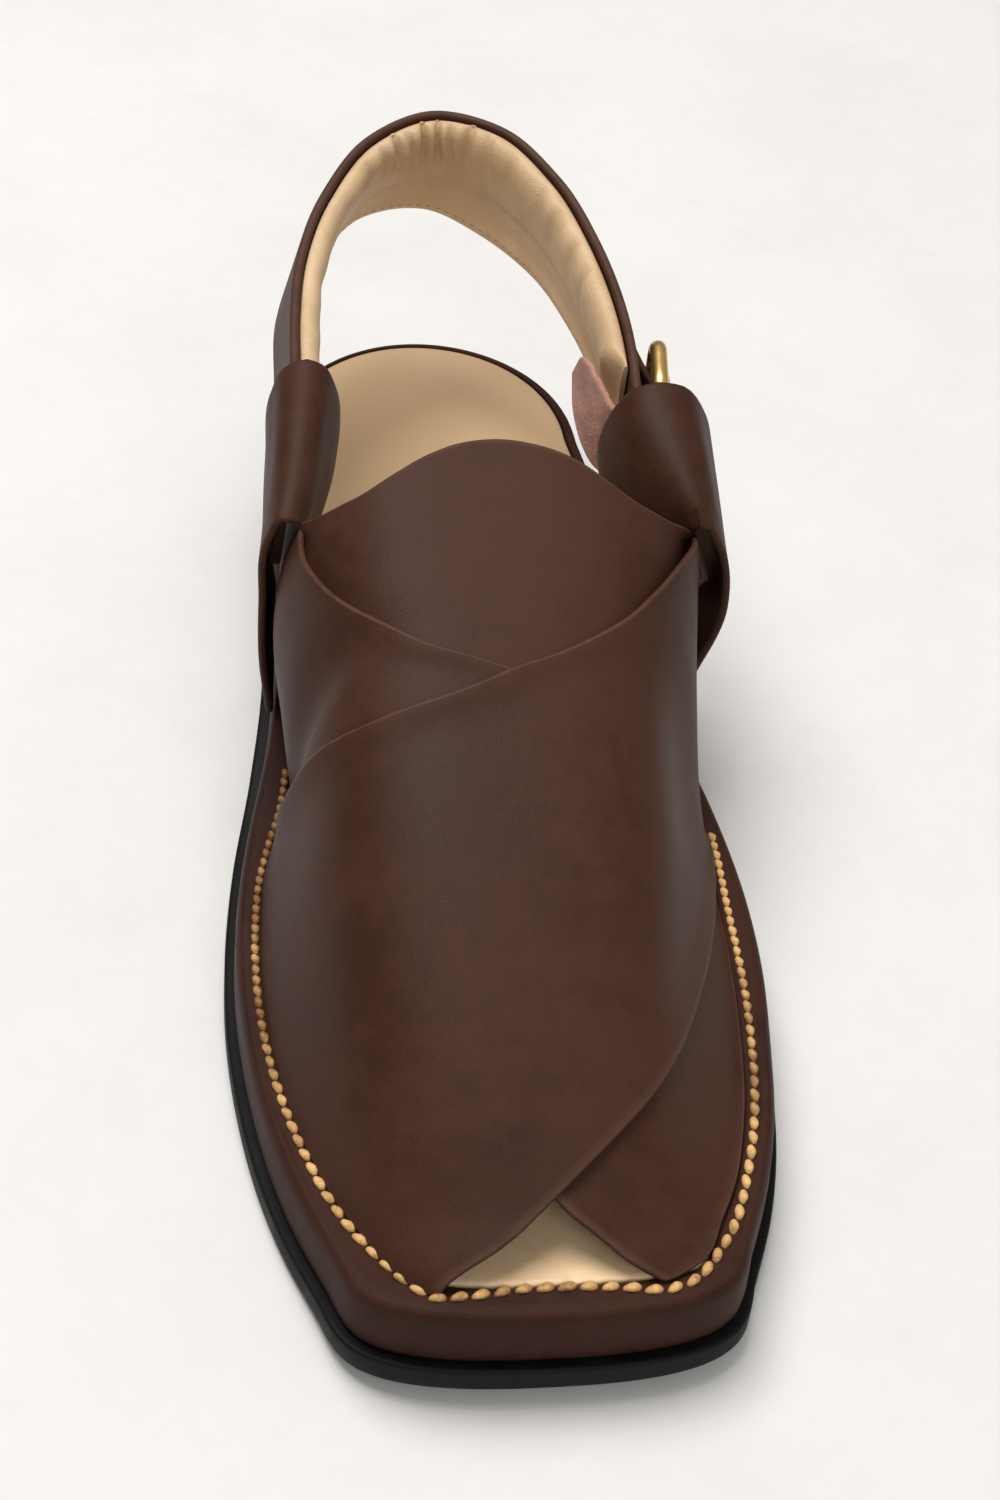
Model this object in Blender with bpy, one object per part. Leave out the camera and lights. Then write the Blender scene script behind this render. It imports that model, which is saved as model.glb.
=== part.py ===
"""Peshawari chappal, left foot: a square-toed leather sandal with a crossed-band upper.

Frame: Z up, the heel's underside centred on the origin, the toe towards -Y, the buckle side
towards +X.  All sizes below are millimetres; MM turns them into Blender's metres.
"""

import math
from typing import NamedTuple

import bmesh
import bpy
import numpy as np
from mathutils.geometry import delaunay_2d_cdt

MM = 0.001
GAP = 0.3  # room left between pieces that touch

# ---- driving sizes -------------------------------------------------------------------------
LENGTH = 295.7  # sole, toe tip to heel back
BALL_WIDTH = 112.0  # sole, across the ball
HEEL_BACK = 41.5  # Y of the heel's back edge
HEEL_CENTRE_X = -1.1
INSTEP_RISE = 69.5  # crown of the tongue above the edge of the platform
HEEL_HEIGHT = 10.0  # heel block under the outsole
OUTSOLE = 6.0  # rubber thickness
TOE_SPRING = 4.0
LEATHER = 1.4  # wall of the upper at the tongue
BAND_STEP = 0.8  # each crossing band stands this much proud of what it covers
# heights of the upper's faces over the form that the sections describe
WALL_INSIDE = -LEATHER - BAND_STEP
TONGUE_FACE = -BAND_STEP
UNDER_BAND_FACE = 0.0
TOP_BAND_FACE = BAND_STEP
EAR_FACE = -0.2
FEATHER = 7.4  # seam of upper and platform, in from the outsole's edge
LIP_WIDTH = 8.1  # top of the platform's wrapped edge, in from the outsole's edge
INSOLE = 2.0
STRAP_LEATHER = 2.2
BRASS_WIRE = 3.2

# ---- outline of the sole -------------------------------------------------------------------


class Side(NamedTuple):
    """Half outline at one station; along is a fraction of LENGTH from the heel's back."""

    along: float
    medial: float  # fractions of BALL_WIDTH
    lateral: float


SIDES = (
    Side(0.140, 0.355, 0.336),
    Side(0.208, 0.371, 0.359),
    Side(0.293, 0.386, 0.375),
    Side(0.377, 0.397, 0.389),
    Side(0.462, 0.431, 0.421),
    Side(0.546, 0.473, 0.466),
    Side(0.631, 0.499, 0.493),
    Side(0.698, 0.505, 0.495),
    Side(0.766, 0.493, 0.479),
    Side(0.834, 0.464, 0.453),
    Side(0.884, 0.429, 0.418),
    Side(0.935, 0.380, 0.366),
)
HEEL_ARC_STEPS = 8
SIDE_STEPS = 19
TOE_CORNER = (0.30, 0.52, 0.70, 0.82, 0.90, 0.95, 0.985)  # stations round the toe's corner
TOE_TAPER = 0.30  # the sides keep drawing in towards the toe's front
TOE_SQUARE = (4.0, 2.5)  # superellipse powers of the corner


class Level(NamedTuple):
    """Heights of the sole at one station."""

    along: float
    lip: float  # top edge of the wrapped platform


LEVELS = (
    Level(0.000, 28.0),
    Level(0.208, 27.6),
    Level(0.309, 25.6),
    Level(0.445, 23.2),
    Level(0.546, 21.8),
    Level(0.698, 20.5),
    Level(0.834, 20.6),
    Level(0.935, 22.2),
    Level(1.000, 24.0),
)
BREAST_Y = -32.0  # front face of the heel block
WAIST_END_Y = -118.0  # where the waist comes down to the floor
SPRING_START_Y = -200.0

# ---- shape of the last, as seen by the upper -----------------------------------------------


class Section(NamedTuple):
    """Cross-section of the vamp at one station."""

    along: float
    rise: float  # crown height above the lip, fraction of INSTEP_RISE
    crown_x: float
    square: float  # superellipse power: 2 is an ellipse, more is squarer
    medial_lean: float  # how far the sides stand out of the superellipse
    lateral_lean: float
    lateral_high: float  # above 1 the lateral side stands out higher up


SECTIONS = (
    Section(0.418, 1.010, -1.0, 3.9, 3.6, 11.0, 1.45),
    Section(0.479, 0.940, -1.5, 3.8, 2.6, 6.8, 1.40),
    Section(0.539, 0.872, -2.5, 3.3, -2.0, 0.6, 1.20),
    Section(0.597, 0.796, -3.5, 2.9, -4.4, -6.5, 1.00),
    Section(0.698, 0.655, -4.5, 2.6, -5.0, -9.6, 1.00),
    Section(0.783, 0.511, -5.0, 2.35, -4.7, -9.9, 1.00),
    Section(0.851, 0.371, -4.5, 2.2, -3.8, -8.6, 1.00),
    Section(0.901, 0.246, -3.5, 2.1, -2.7, -6.5, 1.00),
    Section(0.938, 0.132, -2.5, 2.1, -1.5, -4.0, 1.00),
    Section(0.974, 0.039, -1.5, 2.1, -0.3, -1.3, 1.00),
)


class Place(NamedTuple):
    """A point of a seam or an edge on the vamp."""

    along: float
    around: float  # 0 at the medial seam, 1 at the lateral seam


CORNER_MEDIAL = Place(0.440, 0.250)  # where the tongue's edge meets the ears
CORNER_LATERAL = Place(0.444, 0.752)
CROSSING = Place(0.5985, 0.514)  # the two bands' upper edges
TOE_APEX = Place(0.926, 0.518)  # top of the toe opening
TONGUE_EDGE = (
    CORNER_MEDIAL,
    Place(0.4520, 0.315),
    Place(0.4535, 0.355),
    Place(0.4450, 0.392),
    Place(0.4345, 0.424),
    Place(0.4260, 0.456),
    Place(0.4225, 0.496),
    Place(0.4260, 0.534),
    Place(0.4360, 0.584),
    Place(0.4470, 0.620),
    Place(0.4550, 0.656),
    Place(0.4530, 0.704),
    CORNER_LATERAL,
)
UNDER_BAND_UPPER = (
    CORNER_MEDIAL,
    Place(0.475, 0.266),
    Place(0.506, 0.286),
    Place(0.550, 0.340),
    Place(0.580, 0.408),
    Place(0.594, 0.478),
    CROSSING,
)
TOP_BAND_UPPER = (
    CORNER_LATERAL,
    Place(0.484, 0.734),
    Place(0.546, 0.658),
    Place(0.578, 0.586),
    CROSSING,
    Place(0.619, 0.402),
    Place(0.621, 0.322),
    Place(0.617, 0.272),
    Place(0.600, 0.202),
    Place(0.568, 0.115),
    Place(0.520, 0.000),
)
TOP_BAND_LOWER = (
    TOE_APEX,
    Place(0.896, 0.636),
    Place(0.876, 0.696),
    Place(0.840, 0.758),
    Place(0.788, 0.826),
    Place(0.749, 0.864),
    Place(0.703, 0.896),
    Place(0.648, 0.936),
    Place(0.560, 1.000),
)
TOE_OPENING_MEDIAL = (TOE_APEX, Place(0.955, 0.312), Place(0.9695, 0.000))
TOE_OPENING_LATERAL = (TOE_APEX, Place(0.944, 0.612), Place(0.959, 0.730), Place(0.9700, 1.000))
VAMP_CELL = 7.5  # facet size of the vamp


class EarRim(NamedTuple):
    """Loop of the ear at one station: the leather goes up inside, over the top, down outside."""

    y_top: float
    y_foot: float
    in_foot: float
    in_mid: float  # at mid height
    in_top: float
    ridge_x: float
    ridge_z: float
    out_top: float
    out_mid: float
    out_low: float
    out_foot: float


# the front loops carry on from the vamp's rear edge, so their inner leg has no row of its own
EAR_MEDIAL = (
    EarRim(-89.5, -90.0, 0, 0, 0, -42.0, 74.6, -44.6, -45.2, -44.6, -42.6),
    EarRim(-69.0, -70.0, -37.0, -35.5, -33.0, -37.6, 80.6, -42.4, -43.4, -43.0, -41.2),
    EarRim(-50.0, -50.0, -36.5, -31.6, -29.0, -35.2, 86.4, -41.4, -42.0, -41.6, -39.8),
)
EAR_LATERAL = (
    EarRim(-91.5, -96.0, 0, 0, 0, 46.6, 74.8, 50.2, 51.2, 46.0, 40.9),
    EarRim(-74.0, -79.0, 38.0, 36.0, 34.2, 42.4, 81.0, 50.4, 52.6, 47.4, 40.6),
    EarRim(-58.5, -62.0, 37.0, 33.6, 30.8, 39.8, 86.2, 49.8, 51.4, 46.0, 39.6),
)
EAR_INNER_STEPS = 11
EAR_ROOT_STEPS = EAR_INNER_STEPS - 2
EAR_OUTER_STEPS = 15
EAR_LENGTH_STEPS = 7

# ---- heel strap ----------------------------------------------------------------------------


class StrapRow(NamedTuple):
    """Outer face of the heel strap: its top edge and its lower edge at one station."""

    top_x: float
    top_y: float
    top_z: float
    low_x: float
    low_y: float
    low_z: float


STRAP = (
    StrapRow(-42.7, -80.0, 71.5, -44.0, -79.0, 56.0),
    StrapRow(-40.2, -62.0, 78.0, -42.4, -60.0, 57.5),
    StrapRow(-38.3, -44.0, 82.5, -40.6, -38.0, 59.0),
    StrapRow(-37.4, -28.0, 84.6, -40.2, -20.0, 60.5),
    StrapRow(-34.7, -8.6, 87.2, -38.8, -1.0, 62.6),
    StrapRow(-27.8, 12.0, 90.5, -31.6, 19.0, 67.0),
    StrapRow(-16.6, 29.0, 94.3, -18.8, 33.2, 70.8),
    StrapRow(0.3, 37.3, 96.3, 0.4, 39.6, 68.8),
    StrapRow(16.6, 31.4, 95.0, 14.6, 30.6, 66.0),
    StrapRow(27.6, 16.8, 91.6, 26.0, 17.2, 63.4),
    StrapRow(34.3, -2.8, 88.1, 33.4, -3.4, 61.4),
    StrapRow(37.7, -22.7, 85.2, 37.0, -22.0, 60.0),
    StrapRow(38.4, -41.0, 83.0, 38.2, -40.0, 60.0),
    StrapRow(38.0, -50.0, 81.6, 38.0, -49.5, 60.0),
    StrapRow(38.3, -62.0, 79.5, 38.3, -61.0, 60.0),
)
STRAP_STEPS = 40
LINING_FROM = 0.13  # the lining covers this part of the strap's length
LINING_TO = 0.92
# outline of the lining's cross-section: share of the strap's height, depth from the strap
LINING_PROFILE = (
    (0.03, 0.0),
    (0.03, 1.2),
    (0.28, 1.4),
    (0.40, 3.2),
    (0.62, 4.6),
    (0.84, 5.0),
    (0.98, 3.8),
    (1.02, 1.8),
    (0.98, 0.0),
)

# ---- buckle --------------------------------------------------------------------------------
BUCKLE_FRONT = (42.3, -50.0, 69.2)  # middle of the bar that the chape holds
BUCKLE_REAR = (44.0, -33.6, 70.6)  # middle of the bar that the prong rests on
BUCKLE_HEIGHT = 21.0
BUCKLE_CORNER = 4.0
WIRE_SIDES = 10
PRONG_WIRE = 1.8
PRONG_PAST = 1.6  # how far the prong's tip reaches past its bar
PRONG_EYE = 280.0  # degrees of the prong's turn round its bar
SLOT_REACH = 8.5  # the chape is slit this far round the prong's bar
NARROW_SHARES = (0.0, 0.37, 0.63, 1.0)  # rows of a narrow strap; its holes are in the middle one


class Middle(NamedTuple):
    """A point on the middle line of a narrow strap."""

    x: float
    y: float
    z: float


# the chape is folded round the front bar; it runs forward and down inside the lateral ear
CHAPE_LINE = (
    Middle(*BUCKLE_FRONT),
    Middle(42.6, -55.0, 68.6),
    Middle(43.8, -62.0, 64.6),
    Middle(45.6, -70.0, 58.4),
    Middle(48.3, -81.0, 50.0),
)
CHAPE = 1.4
CHAPE_HEIGHT = 12.0
CHAPE_STEPS = 12
RIVET_STATION = 10  # of CHAPE_STEPS
RIVET_WASHER = ((1.0, 1.2), (0.9, 2.0), (0.0, 2.2))  # out from the seat, radius
RIVET_HEAD = ((0.0, 2.4), (0.6, 2.2), (1.1, 1.4), (1.3, 0.5))
RIVET_SHANK = 1.0
RIVET_SIDES = 12
# the fastening strap leaves the heel strap, passes the buckle and ends inside the ear
FASTENING_LINE = (
    Middle(41.0, -33.6, 70.9),
    Middle(43.4, -42.0, 70.2),
    Middle(47.6, -50.5, 69.0),
    Middle(48.7, -58.0, 67.2),
    Middle(48.9, -65.0, 65.2),
)
FASTENING = 1.6
FASTENING_SLOT_Y = (-49.0, -38.0)  # where the buckle's prong passes
FASTENING_HEIGHT = 14.0
FASTENING_STEPS = 26
FASTENING_FROM_Y = -6.0  # its sewn end on the heel strap
FASTENING_FREE_Y = -24.0


class TabRow(NamedTuple):
    """Guard tab inside the strap: upper and lower edge at one station."""

    top_x: float
    top_y: float
    top_z: float
    low_x: float
    low_y: float
    low_z: float


TAB = (
    TabRow(28.4, -34.0, 76.8, 26.9, -33.2, 71.2),
    TabRow(29.6, -40.0, 78.4, 26.9, -39.0, 65.6),
    TabRow(31.0, -49.0, 78.4, 29.4, -50.0, 60.6),
    TabRow(35.2, -60.0, 77.6, 35.4, -60.0, 60.0),
    TabRow(36.6, -68.0, 75.0, 36.8, -68.0, 59.5),
)
TAB_THICK = 1.6

BROWN = (0.055, 0.026, 0.018)
RUBBER = (0.010, 0.010, 0.011)
BEIGE = (0.66, 0.48, 0.29)
SUEDE = (0.24, 0.085, 0.065)
BRASS = (0.83, 0.58, 0.20)


# ---- small tools ---------------------------------------------------------------------------


def spline(rows, column, at):
    """Smooth value of a table's column at one or more places of its first column."""
    xs = np.array([row[0] for row in rows], float)
    ys = np.array([getattr(row, column) for row in rows], float)
    slope = np.gradient(ys, xs)
    at = np.asarray(at, float)
    i = np.clip(np.searchsorted(xs, at) - 1, 0, len(xs) - 2)
    step = xs[i + 1] - xs[i]
    t = (at - xs[i]) / step
    rise = (2 * t**3 - 3 * t**2 + 1) * ys[i] + (3 * t**2 - 2 * t**3) * ys[i + 1]
    return rise + step * ((t**3 - 2 * t**2 + t) * slope[i] + (t**3 - t**2) * slope[i + 1])


def smooth_path(points, shares):
    """Points along a smooth curve through the given ones: at shares of its length, or that many."""
    points = np.array(points, float)
    chord = np.linalg.norm(np.diff(points, axis=0), axis=1)
    at = np.concatenate(([0.0], np.cumsum(chord)))
    slope = np.gradient(points, at, axis=0)
    fine = np.linspace(0.0, at[-1], 12 * len(points))
    i = np.clip(np.searchsorted(at, fine) - 1, 0, len(at) - 2)
    step = (at[i + 1] - at[i])[:, None]
    t = (fine - at[i])[:, None] / step
    curve = (2 * t**3 - 3 * t**2 + 1) * points[i] + (3 * t**2 - 2 * t**3) * points[i + 1]
    curve += step * ((t**3 - 2 * t**2 + t) * slope[i] + (t**3 - t**2) * slope[i + 1])
    run = np.linalg.norm(np.diff(curve, axis=0), axis=1)
    run = np.concatenate(([0.0], np.cumsum(run)))
    at = np.linspace(0.0, run[-1], shares) if isinstance(shares, int) else np.array(shares) * run[-1]
    return np.stack([np.interp(at, run, curve[:, k]) for k in range(curve.shape[1])], axis=1)


def smoothstep(t):
    """0 below 0, 1 above 1, an S-curve between."""
    t = np.clip(t, 0.0, 1.0)
    return t * t * (3.0 - 2.0 * t)


def along_of(y):
    """Station, as a fraction of LENGTH from the heel's back, of a Y."""
    return (HEEL_BACK - y) / LENGTH


def y_of(along):
    """Y of a station."""
    return HEEL_BACK - along * LENGTH


def material(name, colour, roughness, metallic=0.0):
    """A plain finish."""
    finish = bpy.data.materials.new(name)
    finish.use_nodes = True
    shader = finish.node_tree.nodes["Principled BSDF"]
    shader.inputs["Base Color"].default_value = (*colour, 1.0)
    shader.inputs["Roughness"].default_value = roughness
    shader.inputs["Metallic"].default_value = metallic
    finish.diffuse_color = (*colour, 1.0)
    return finish


def make_object(name, points, faces, finish, sharp_degrees=40.0):
    """A named mesh object from points in millimetres, its faces turned outwards."""
    mesh = bpy.data.meshes.new(name)
    bm = bmesh.new()
    corners = [bm.verts.new([float(c) * MM for c in point]) for point in points]
    for face in faces:
        bm.faces.new([corners[i] for i in face])
    bmesh.ops.triangulate(bm, faces=[f for f in bm.faces if len(f.verts) > 3])
    bmesh.ops.recalc_face_normals(bm, faces=bm.faces)
    bm.to_mesh(mesh)
    bm.free()
    mesh.shade_smooth()
    mesh.set_sharp_from_angle(angle=math.radians(sharp_degrees))
    mesh.materials.append(finish)
    thing = bpy.data.objects.new(name, mesh)
    bpy.context.scene.collection.objects.link(thing)
    return thing


def loft(name, rings, finish, cap=None):
    """Closed body through rings of equal count; cap lists the faces that close one ring."""
    count = len(rings[0])
    points = [point for ring in rings for point in ring]
    faces = []
    for k in range(len(rings) - 1):
        low, high = k * count, (k + 1) * count
        for i in range(count):
            j = (i + 1) % count
            faces.append((low + i, low + j, high + j, high + i))
    cap = cap or [tuple(range(count))]
    last = (len(rings) - 1) * count
    faces += [tuple(face) for face in cap]
    faces += [tuple(last + i for i in face) for face in cap]
    return make_object(name, points, faces, finish)


# ---- sole ----------------------------------------------------------------------------------


def outline():
    """Closed outline of the outsole: heel's back, lateral side, toe tip, medial side."""
    first, last = SIDES[0], SIDES[-1]
    lateral, medial = [], []
    for k in range(1, HEEL_ARC_STEPS):
        turn = math.pi / 2 * (1 - k / HEEL_ARC_STEPS)
        y = HEEL_BACK * math.sin(turn)
        lateral.append((HEEL_CENTRE_X + (first.lateral * BALL_WIDTH - HEEL_CENTRE_X) * math.cos(turn), y))
        medial.append((HEEL_CENTRE_X - (first.medial * BALL_WIDTH + HEEL_CENTRE_X) * math.cos(turn), y))
    for along in np.linspace(first.along, last.along, SIDE_STEPS):
        lateral.append((BALL_WIDTH * spline(SIDES, "lateral", along), y_of(along)))
        medial.append((-BALL_WIDTH * spline(SIDES, "medial", along), y_of(along)))
    corner_y, toe_y = y_of(last.along), y_of(1.0)
    for share in TOE_CORNER:
        y = corner_y + share * (toe_y - corner_y)
        keep = (1 - share ** TOE_SQUARE[0]) ** (1 / TOE_SQUARE[1])
        draw_in = TOE_TAPER * (corner_y - y)
        lateral.append(((last.lateral * BALL_WIDTH - draw_in) * keep, y))
        medial.append((-(last.medial * BALL_WIDTH - draw_in) * keep, y))
    return np.array([(HEEL_CENTRE_X, HEEL_BACK)] + lateral + [(0.0, toe_y)] + medial[::-1])


def moved_in(points, inset):
    """The outline moved inwards by a distance, square to itself."""
    along = np.roll(points, -1, 0) - np.roll(points, 1, 0)
    along /= np.linalg.norm(along, axis=1)[:, None]
    return points + inset * np.stack([along[:, 1], -along[:, 0]], axis=1)


def ladder(count):
    """Faces that close a ring whose two sides run in step, from its first point to its middle one."""
    half = count // 2
    rungs = [(i, i + 1, count - i - 1, count - i) for i in range(1, half - 1)]
    return [(0, 1, count - 1)] + rungs + [(half - 1, half, half + 1)]


def lip_height(y):
    """Top edge of the wrapped platform."""
    return spline(LEVELS, "lip", along_of(y))


def outsole_underside(y):
    """Underside of the outsole: on the heel block, over the waist, on the floor, up at the toe."""
    y = np.asarray(y, float)
    waist = HEEL_HEIGHT * (1 - smoothstep((BREAST_Y - 2 - y) / (BREAST_Y - 2 - WAIST_END_Y)))
    reach = np.clip((SPRING_START_Y - y) / (SPRING_START_Y - y_of(1.0)), 0.0, 1.0)
    return waist + TOE_SPRING * reach**2


def outsole_topside(y):
    """Top of the outsole."""
    return outsole_underside(y) + OUTSOLE


def ring(points, inset, height):
    """The outline moved in by inset, each point at the height that height(y) gives."""
    flat = moved_in(points, inset)
    return [(x, y, float(height(y))) for x, y in flat]


def make_sole(finishes):
    """Outsole, heel block, wrapped platform and insole."""
    edge = outline()
    rungs = ladder(len(edge))
    outsole = [
        ring(edge, 0.8, outsole_underside),
        ring(edge, 0.0, lambda y: outsole_underside(y) + 0.9),
        ring(edge, 0.0, lambda y: outsole_topside(y) - 0.6),
        ring(edge, 0.6, outsole_topside),
    ]
    loft("outsole", outsole, finishes["rubber"], rungs)

    heel_side = [p for p in edge if p[1] > BREAST_Y + 1.0]
    lateral_x = BALL_WIDTH * float(spline(SIDES, "lateral", along_of(BREAST_Y)))
    medial_x = -BALL_WIDTH * float(spline(SIDES, "medial", along_of(BREAST_Y)))
    breast = [(lateral_x, BREAST_Y), (0.0, BREAST_Y + 2.0), (medial_x, BREAST_Y)]
    turn = next(i for i, p in enumerate(heel_side) if p[0] < HEEL_CENTRE_X - 1.0)
    block = np.array([tuple(p) for p in heel_side[:turn]] + breast + [tuple(p) for p in heel_side[turn:]])
    heel = [
        [(x, y, 0.0) for x, y in moved_in(block, 1.4)],
        [(x, y, 1.0) for x, y in moved_in(block, 0.6)],
        [(x, y, HEEL_HEIGHT - GAP) for x, y in moved_in(block, 0.2)],
    ]
    loft("heel_block", heel, finishes["rubber"])

    floor = INSOLE + GAP
    platform = [
        ring(edge, 2.6, lambda y: outsole_topside(y) + GAP),
        ring(edge, 2.0, lambda y: outsole_topside(y) + 2.0),
        ring(edge, 2.1, lambda y: lip_height(y) - 4.0),
        ring(edge, 2.9, lambda y: lip_height(y) - 1.4),
        ring(edge, 4.4, lip_height),
        ring(edge, 7.4, lambda y: lip_height(y) - 0.1),
        ring(edge, LIP_WIDTH - 0.1, lambda y: lip_height(y) - 0.6),
        ring(edge, LIP_WIDTH, lambda y: lip_height(y) - floor),
    ]
    loft("wrapped_platform", platform, finishes["brown"], rungs)

    inset = LIP_WIDTH + GAP
    insole = [
        ring(edge, inset, lambda y: lip_height(y) - INSOLE),
        ring(edge, inset, lambda y: lip_height(y) - 0.6),
        ring(edge, inset + 0.6, lambda y: lip_height(y) - 0.1),
        ring(edge, inset + 6.0, lambda y: lip_height(y) - 0.5),
    ]
    loft("insole", insole, finishes["beige"], rungs)


# ---- upper ---------------------------------------------------------------------------------


class Vamp:
    """The upper's outer face over the last, as a function of station and turn around it."""

    FINE = 121

    def __init__(self):
        seam = moved_in(outline(), FEATHER)
        half = len(seam) // 2
        self.lateral = seam[1:half][::-1]
        self.medial = seam[half + 1:]

    def section(self, along):
        """Fine polyline across the vamp at a station, with the share of its girth at each point."""
        y = y_of(along)
        turn = np.linspace(math.pi, 0.0, self.FINE)
        cos, sin = np.cos(turn), np.sin(turn)
        power = 2.0 / float(spline(SECTIONS, "square", along))
        crown_x = float(spline(SECTIONS, "crown_x", along))
        medial = crown_x - np.interp(y, self.medial[:, 1], self.medial[:, 0])
        lateral = np.interp(y, self.lateral[:, 1], self.lateral[:, 0]) - crown_x
        height = np.abs(sin) ** power
        outwards = np.where(cos > 0, lateral, medial) * np.sign(cos) * np.abs(cos) ** power
        medial_lean = float(spline(SECTIONS, "medial_lean", along))
        lateral_lean = float(spline(SECTIONS, "lateral_lean", along))
        lateral_high = float(spline(SECTIONS, "lateral_high", along))
        lateral_lean = lateral_lean * np.sin(math.pi * height**lateral_high)
        medial_lean = medial_lean * np.sin(math.pi * height)
        lean = np.where(cos > 0, lateral_lean, -medial_lean)
        x = crown_x + outwards + lean * np.minimum(1.0, 3.0 * np.abs(cos))
        rise = INSTEP_RISE * float(spline(SECTIONS, "rise", along))
        z = float(lip_height(y)) + GAP + rise * height
        girth = np.concatenate(([0.0], np.cumsum(np.hypot(np.diff(x), np.diff(z)))))
        return x, z, girth

    def point(self, place):
        """Place on the vamp as a point."""
        x, z, girth = self.section(place[0])
        at = place[1] * girth[-1]
        return np.array((np.interp(at, girth, x), y_of(place[0]), np.interp(at, girth, z)))

    def flat(self, place):
        """Place on the vamp as a point of its flat pattern, square to scale."""
        girth = self.section(place[0])[2][-1]
        return ((place[1] - 0.5) * girth, -place[0] * LENGTH)

    def place(self, flat):
        """The reverse of flat."""
        along = -flat[1] / LENGTH
        girth = self.section(along)[2][-1]
        return Place(along, min(1.0, max(0.0, flat[0] / girth + 0.5)))


def inside(point, polygon):
    """Whether a flat point lies inside a closed polygon."""
    x, y = point
    hit = False
    for (ax, ay), (bx, by) in zip(polygon, polygon[1:] + polygon[:1]):
        if (ay > y) != (by > y) and x < (bx - ax) * (y - ay) / (by - ay) + ax:
            hit = not hit
    return hit


def spaced(vamp, places):
    """Flat points spaced a cell apart along a smooth edge through the given places."""
    flat = np.array([vamp.flat(place) for place in places])
    length = np.linalg.norm(np.diff(flat, axis=0), axis=1).sum()
    return [tuple(p) for p in smooth_path(flat, max(3, round(length / VAMP_CELL) + 1))]


def seam_line(vamp, start, end, around):
    """Flat points along the sole's seam from one station to another."""
    count = max(3, round(abs(end - start) * LENGTH / VAMP_CELL) + 1)
    return [vamp.flat(Place(along, around)) for along in np.linspace(start, end, count)]


class Sheet:
    """A surface of triangles with a leather height on each side, turned into one closed solid.

    Every face carries the height of its region above the surface; the wall's inner side lies
    an even distance below it.  Where regions meet, a step joins their heights.
    """

    def __init__(self, inside_face):
        self.inside_face = inside_face  # height of the inner side, below 0
        self.points = []
        self.faces = []
        self.heights = []
        self.keys = {}

    def vertex(self, point):
        """Index of a point, shared with an equal one."""
        key = tuple(round(float(c), 3) for c in point)
        if key not in self.keys:
            self.keys[key] = len(self.points)
            self.points.append(np.array(point, float))
        return self.keys[key]

    def add(self, corners, height):
        """One triangle by its vertices' indices."""
        if len(set(corners)) == 3:
            self.faces.append(tuple(corners))
            self.heights.append(height)

    def normals(self):
        """Unit normal of each vertex, the mean of its faces'."""
        normals = np.zeros((len(self.points), 3))
        for a, b, c in self.faces:
            pa, pb, pc = self.points[a], self.points[b], self.points[c]
            square = np.cross(pb - pa, pc - pa)
            normals[[a, b, c]] += square
        return normals / np.linalg.norm(normals, axis=1)[:, None]

    def solid(self, name, finish):
        """The closed body."""
        normals = self.normals()
        floor = [float(lip_height(point[1])) + GAP for point in self.points]
        for point, normal, low in zip(self.points, normals, floor):
            point[2] += max(0.0, low - (point[2] + self.inside_face * normal[2]))
        levels = [set() for _ in self.points]
        for face, height in zip(self.faces, self.heights):
            for i in face:
                levels[i] |= {self.inside_face, height}
        index, points = {}, []

        def corner(i, level):
            if (i, level) not in index:
                index[i, level] = len(points)
                spot = self.points[i] + normals[i] * level
                spot[2] = max(spot[2], floor[i])
                points.append(spot)
            return index[i, level]

        def wall(a, b, low, high):
            up = [level for level in sorted(levels[b]) if low <= level <= high]
            down = [level for level in sorted(levels[a], reverse=True) if low <= level <= high]
            return [corner(b, level) for level in up] + [corner(a, level) for level in down]

        faces = []
        edges = {}
        for face, height in zip(self.faces, self.heights):
            faces.append([corner(i, height) for i in face])
            faces.append([corner(i, self.inside_face) for i in reversed(face)])
            for k in range(3):
                edges[face[k], face[(k + 1) % 3]] = height
        for (a, b), height in edges.items():
            other = edges.get((b, a), self.inside_face)
            if height > other:
                faces.append(wall(a, b, other, height))
        return make_object(name, points, faces, finish)


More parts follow.
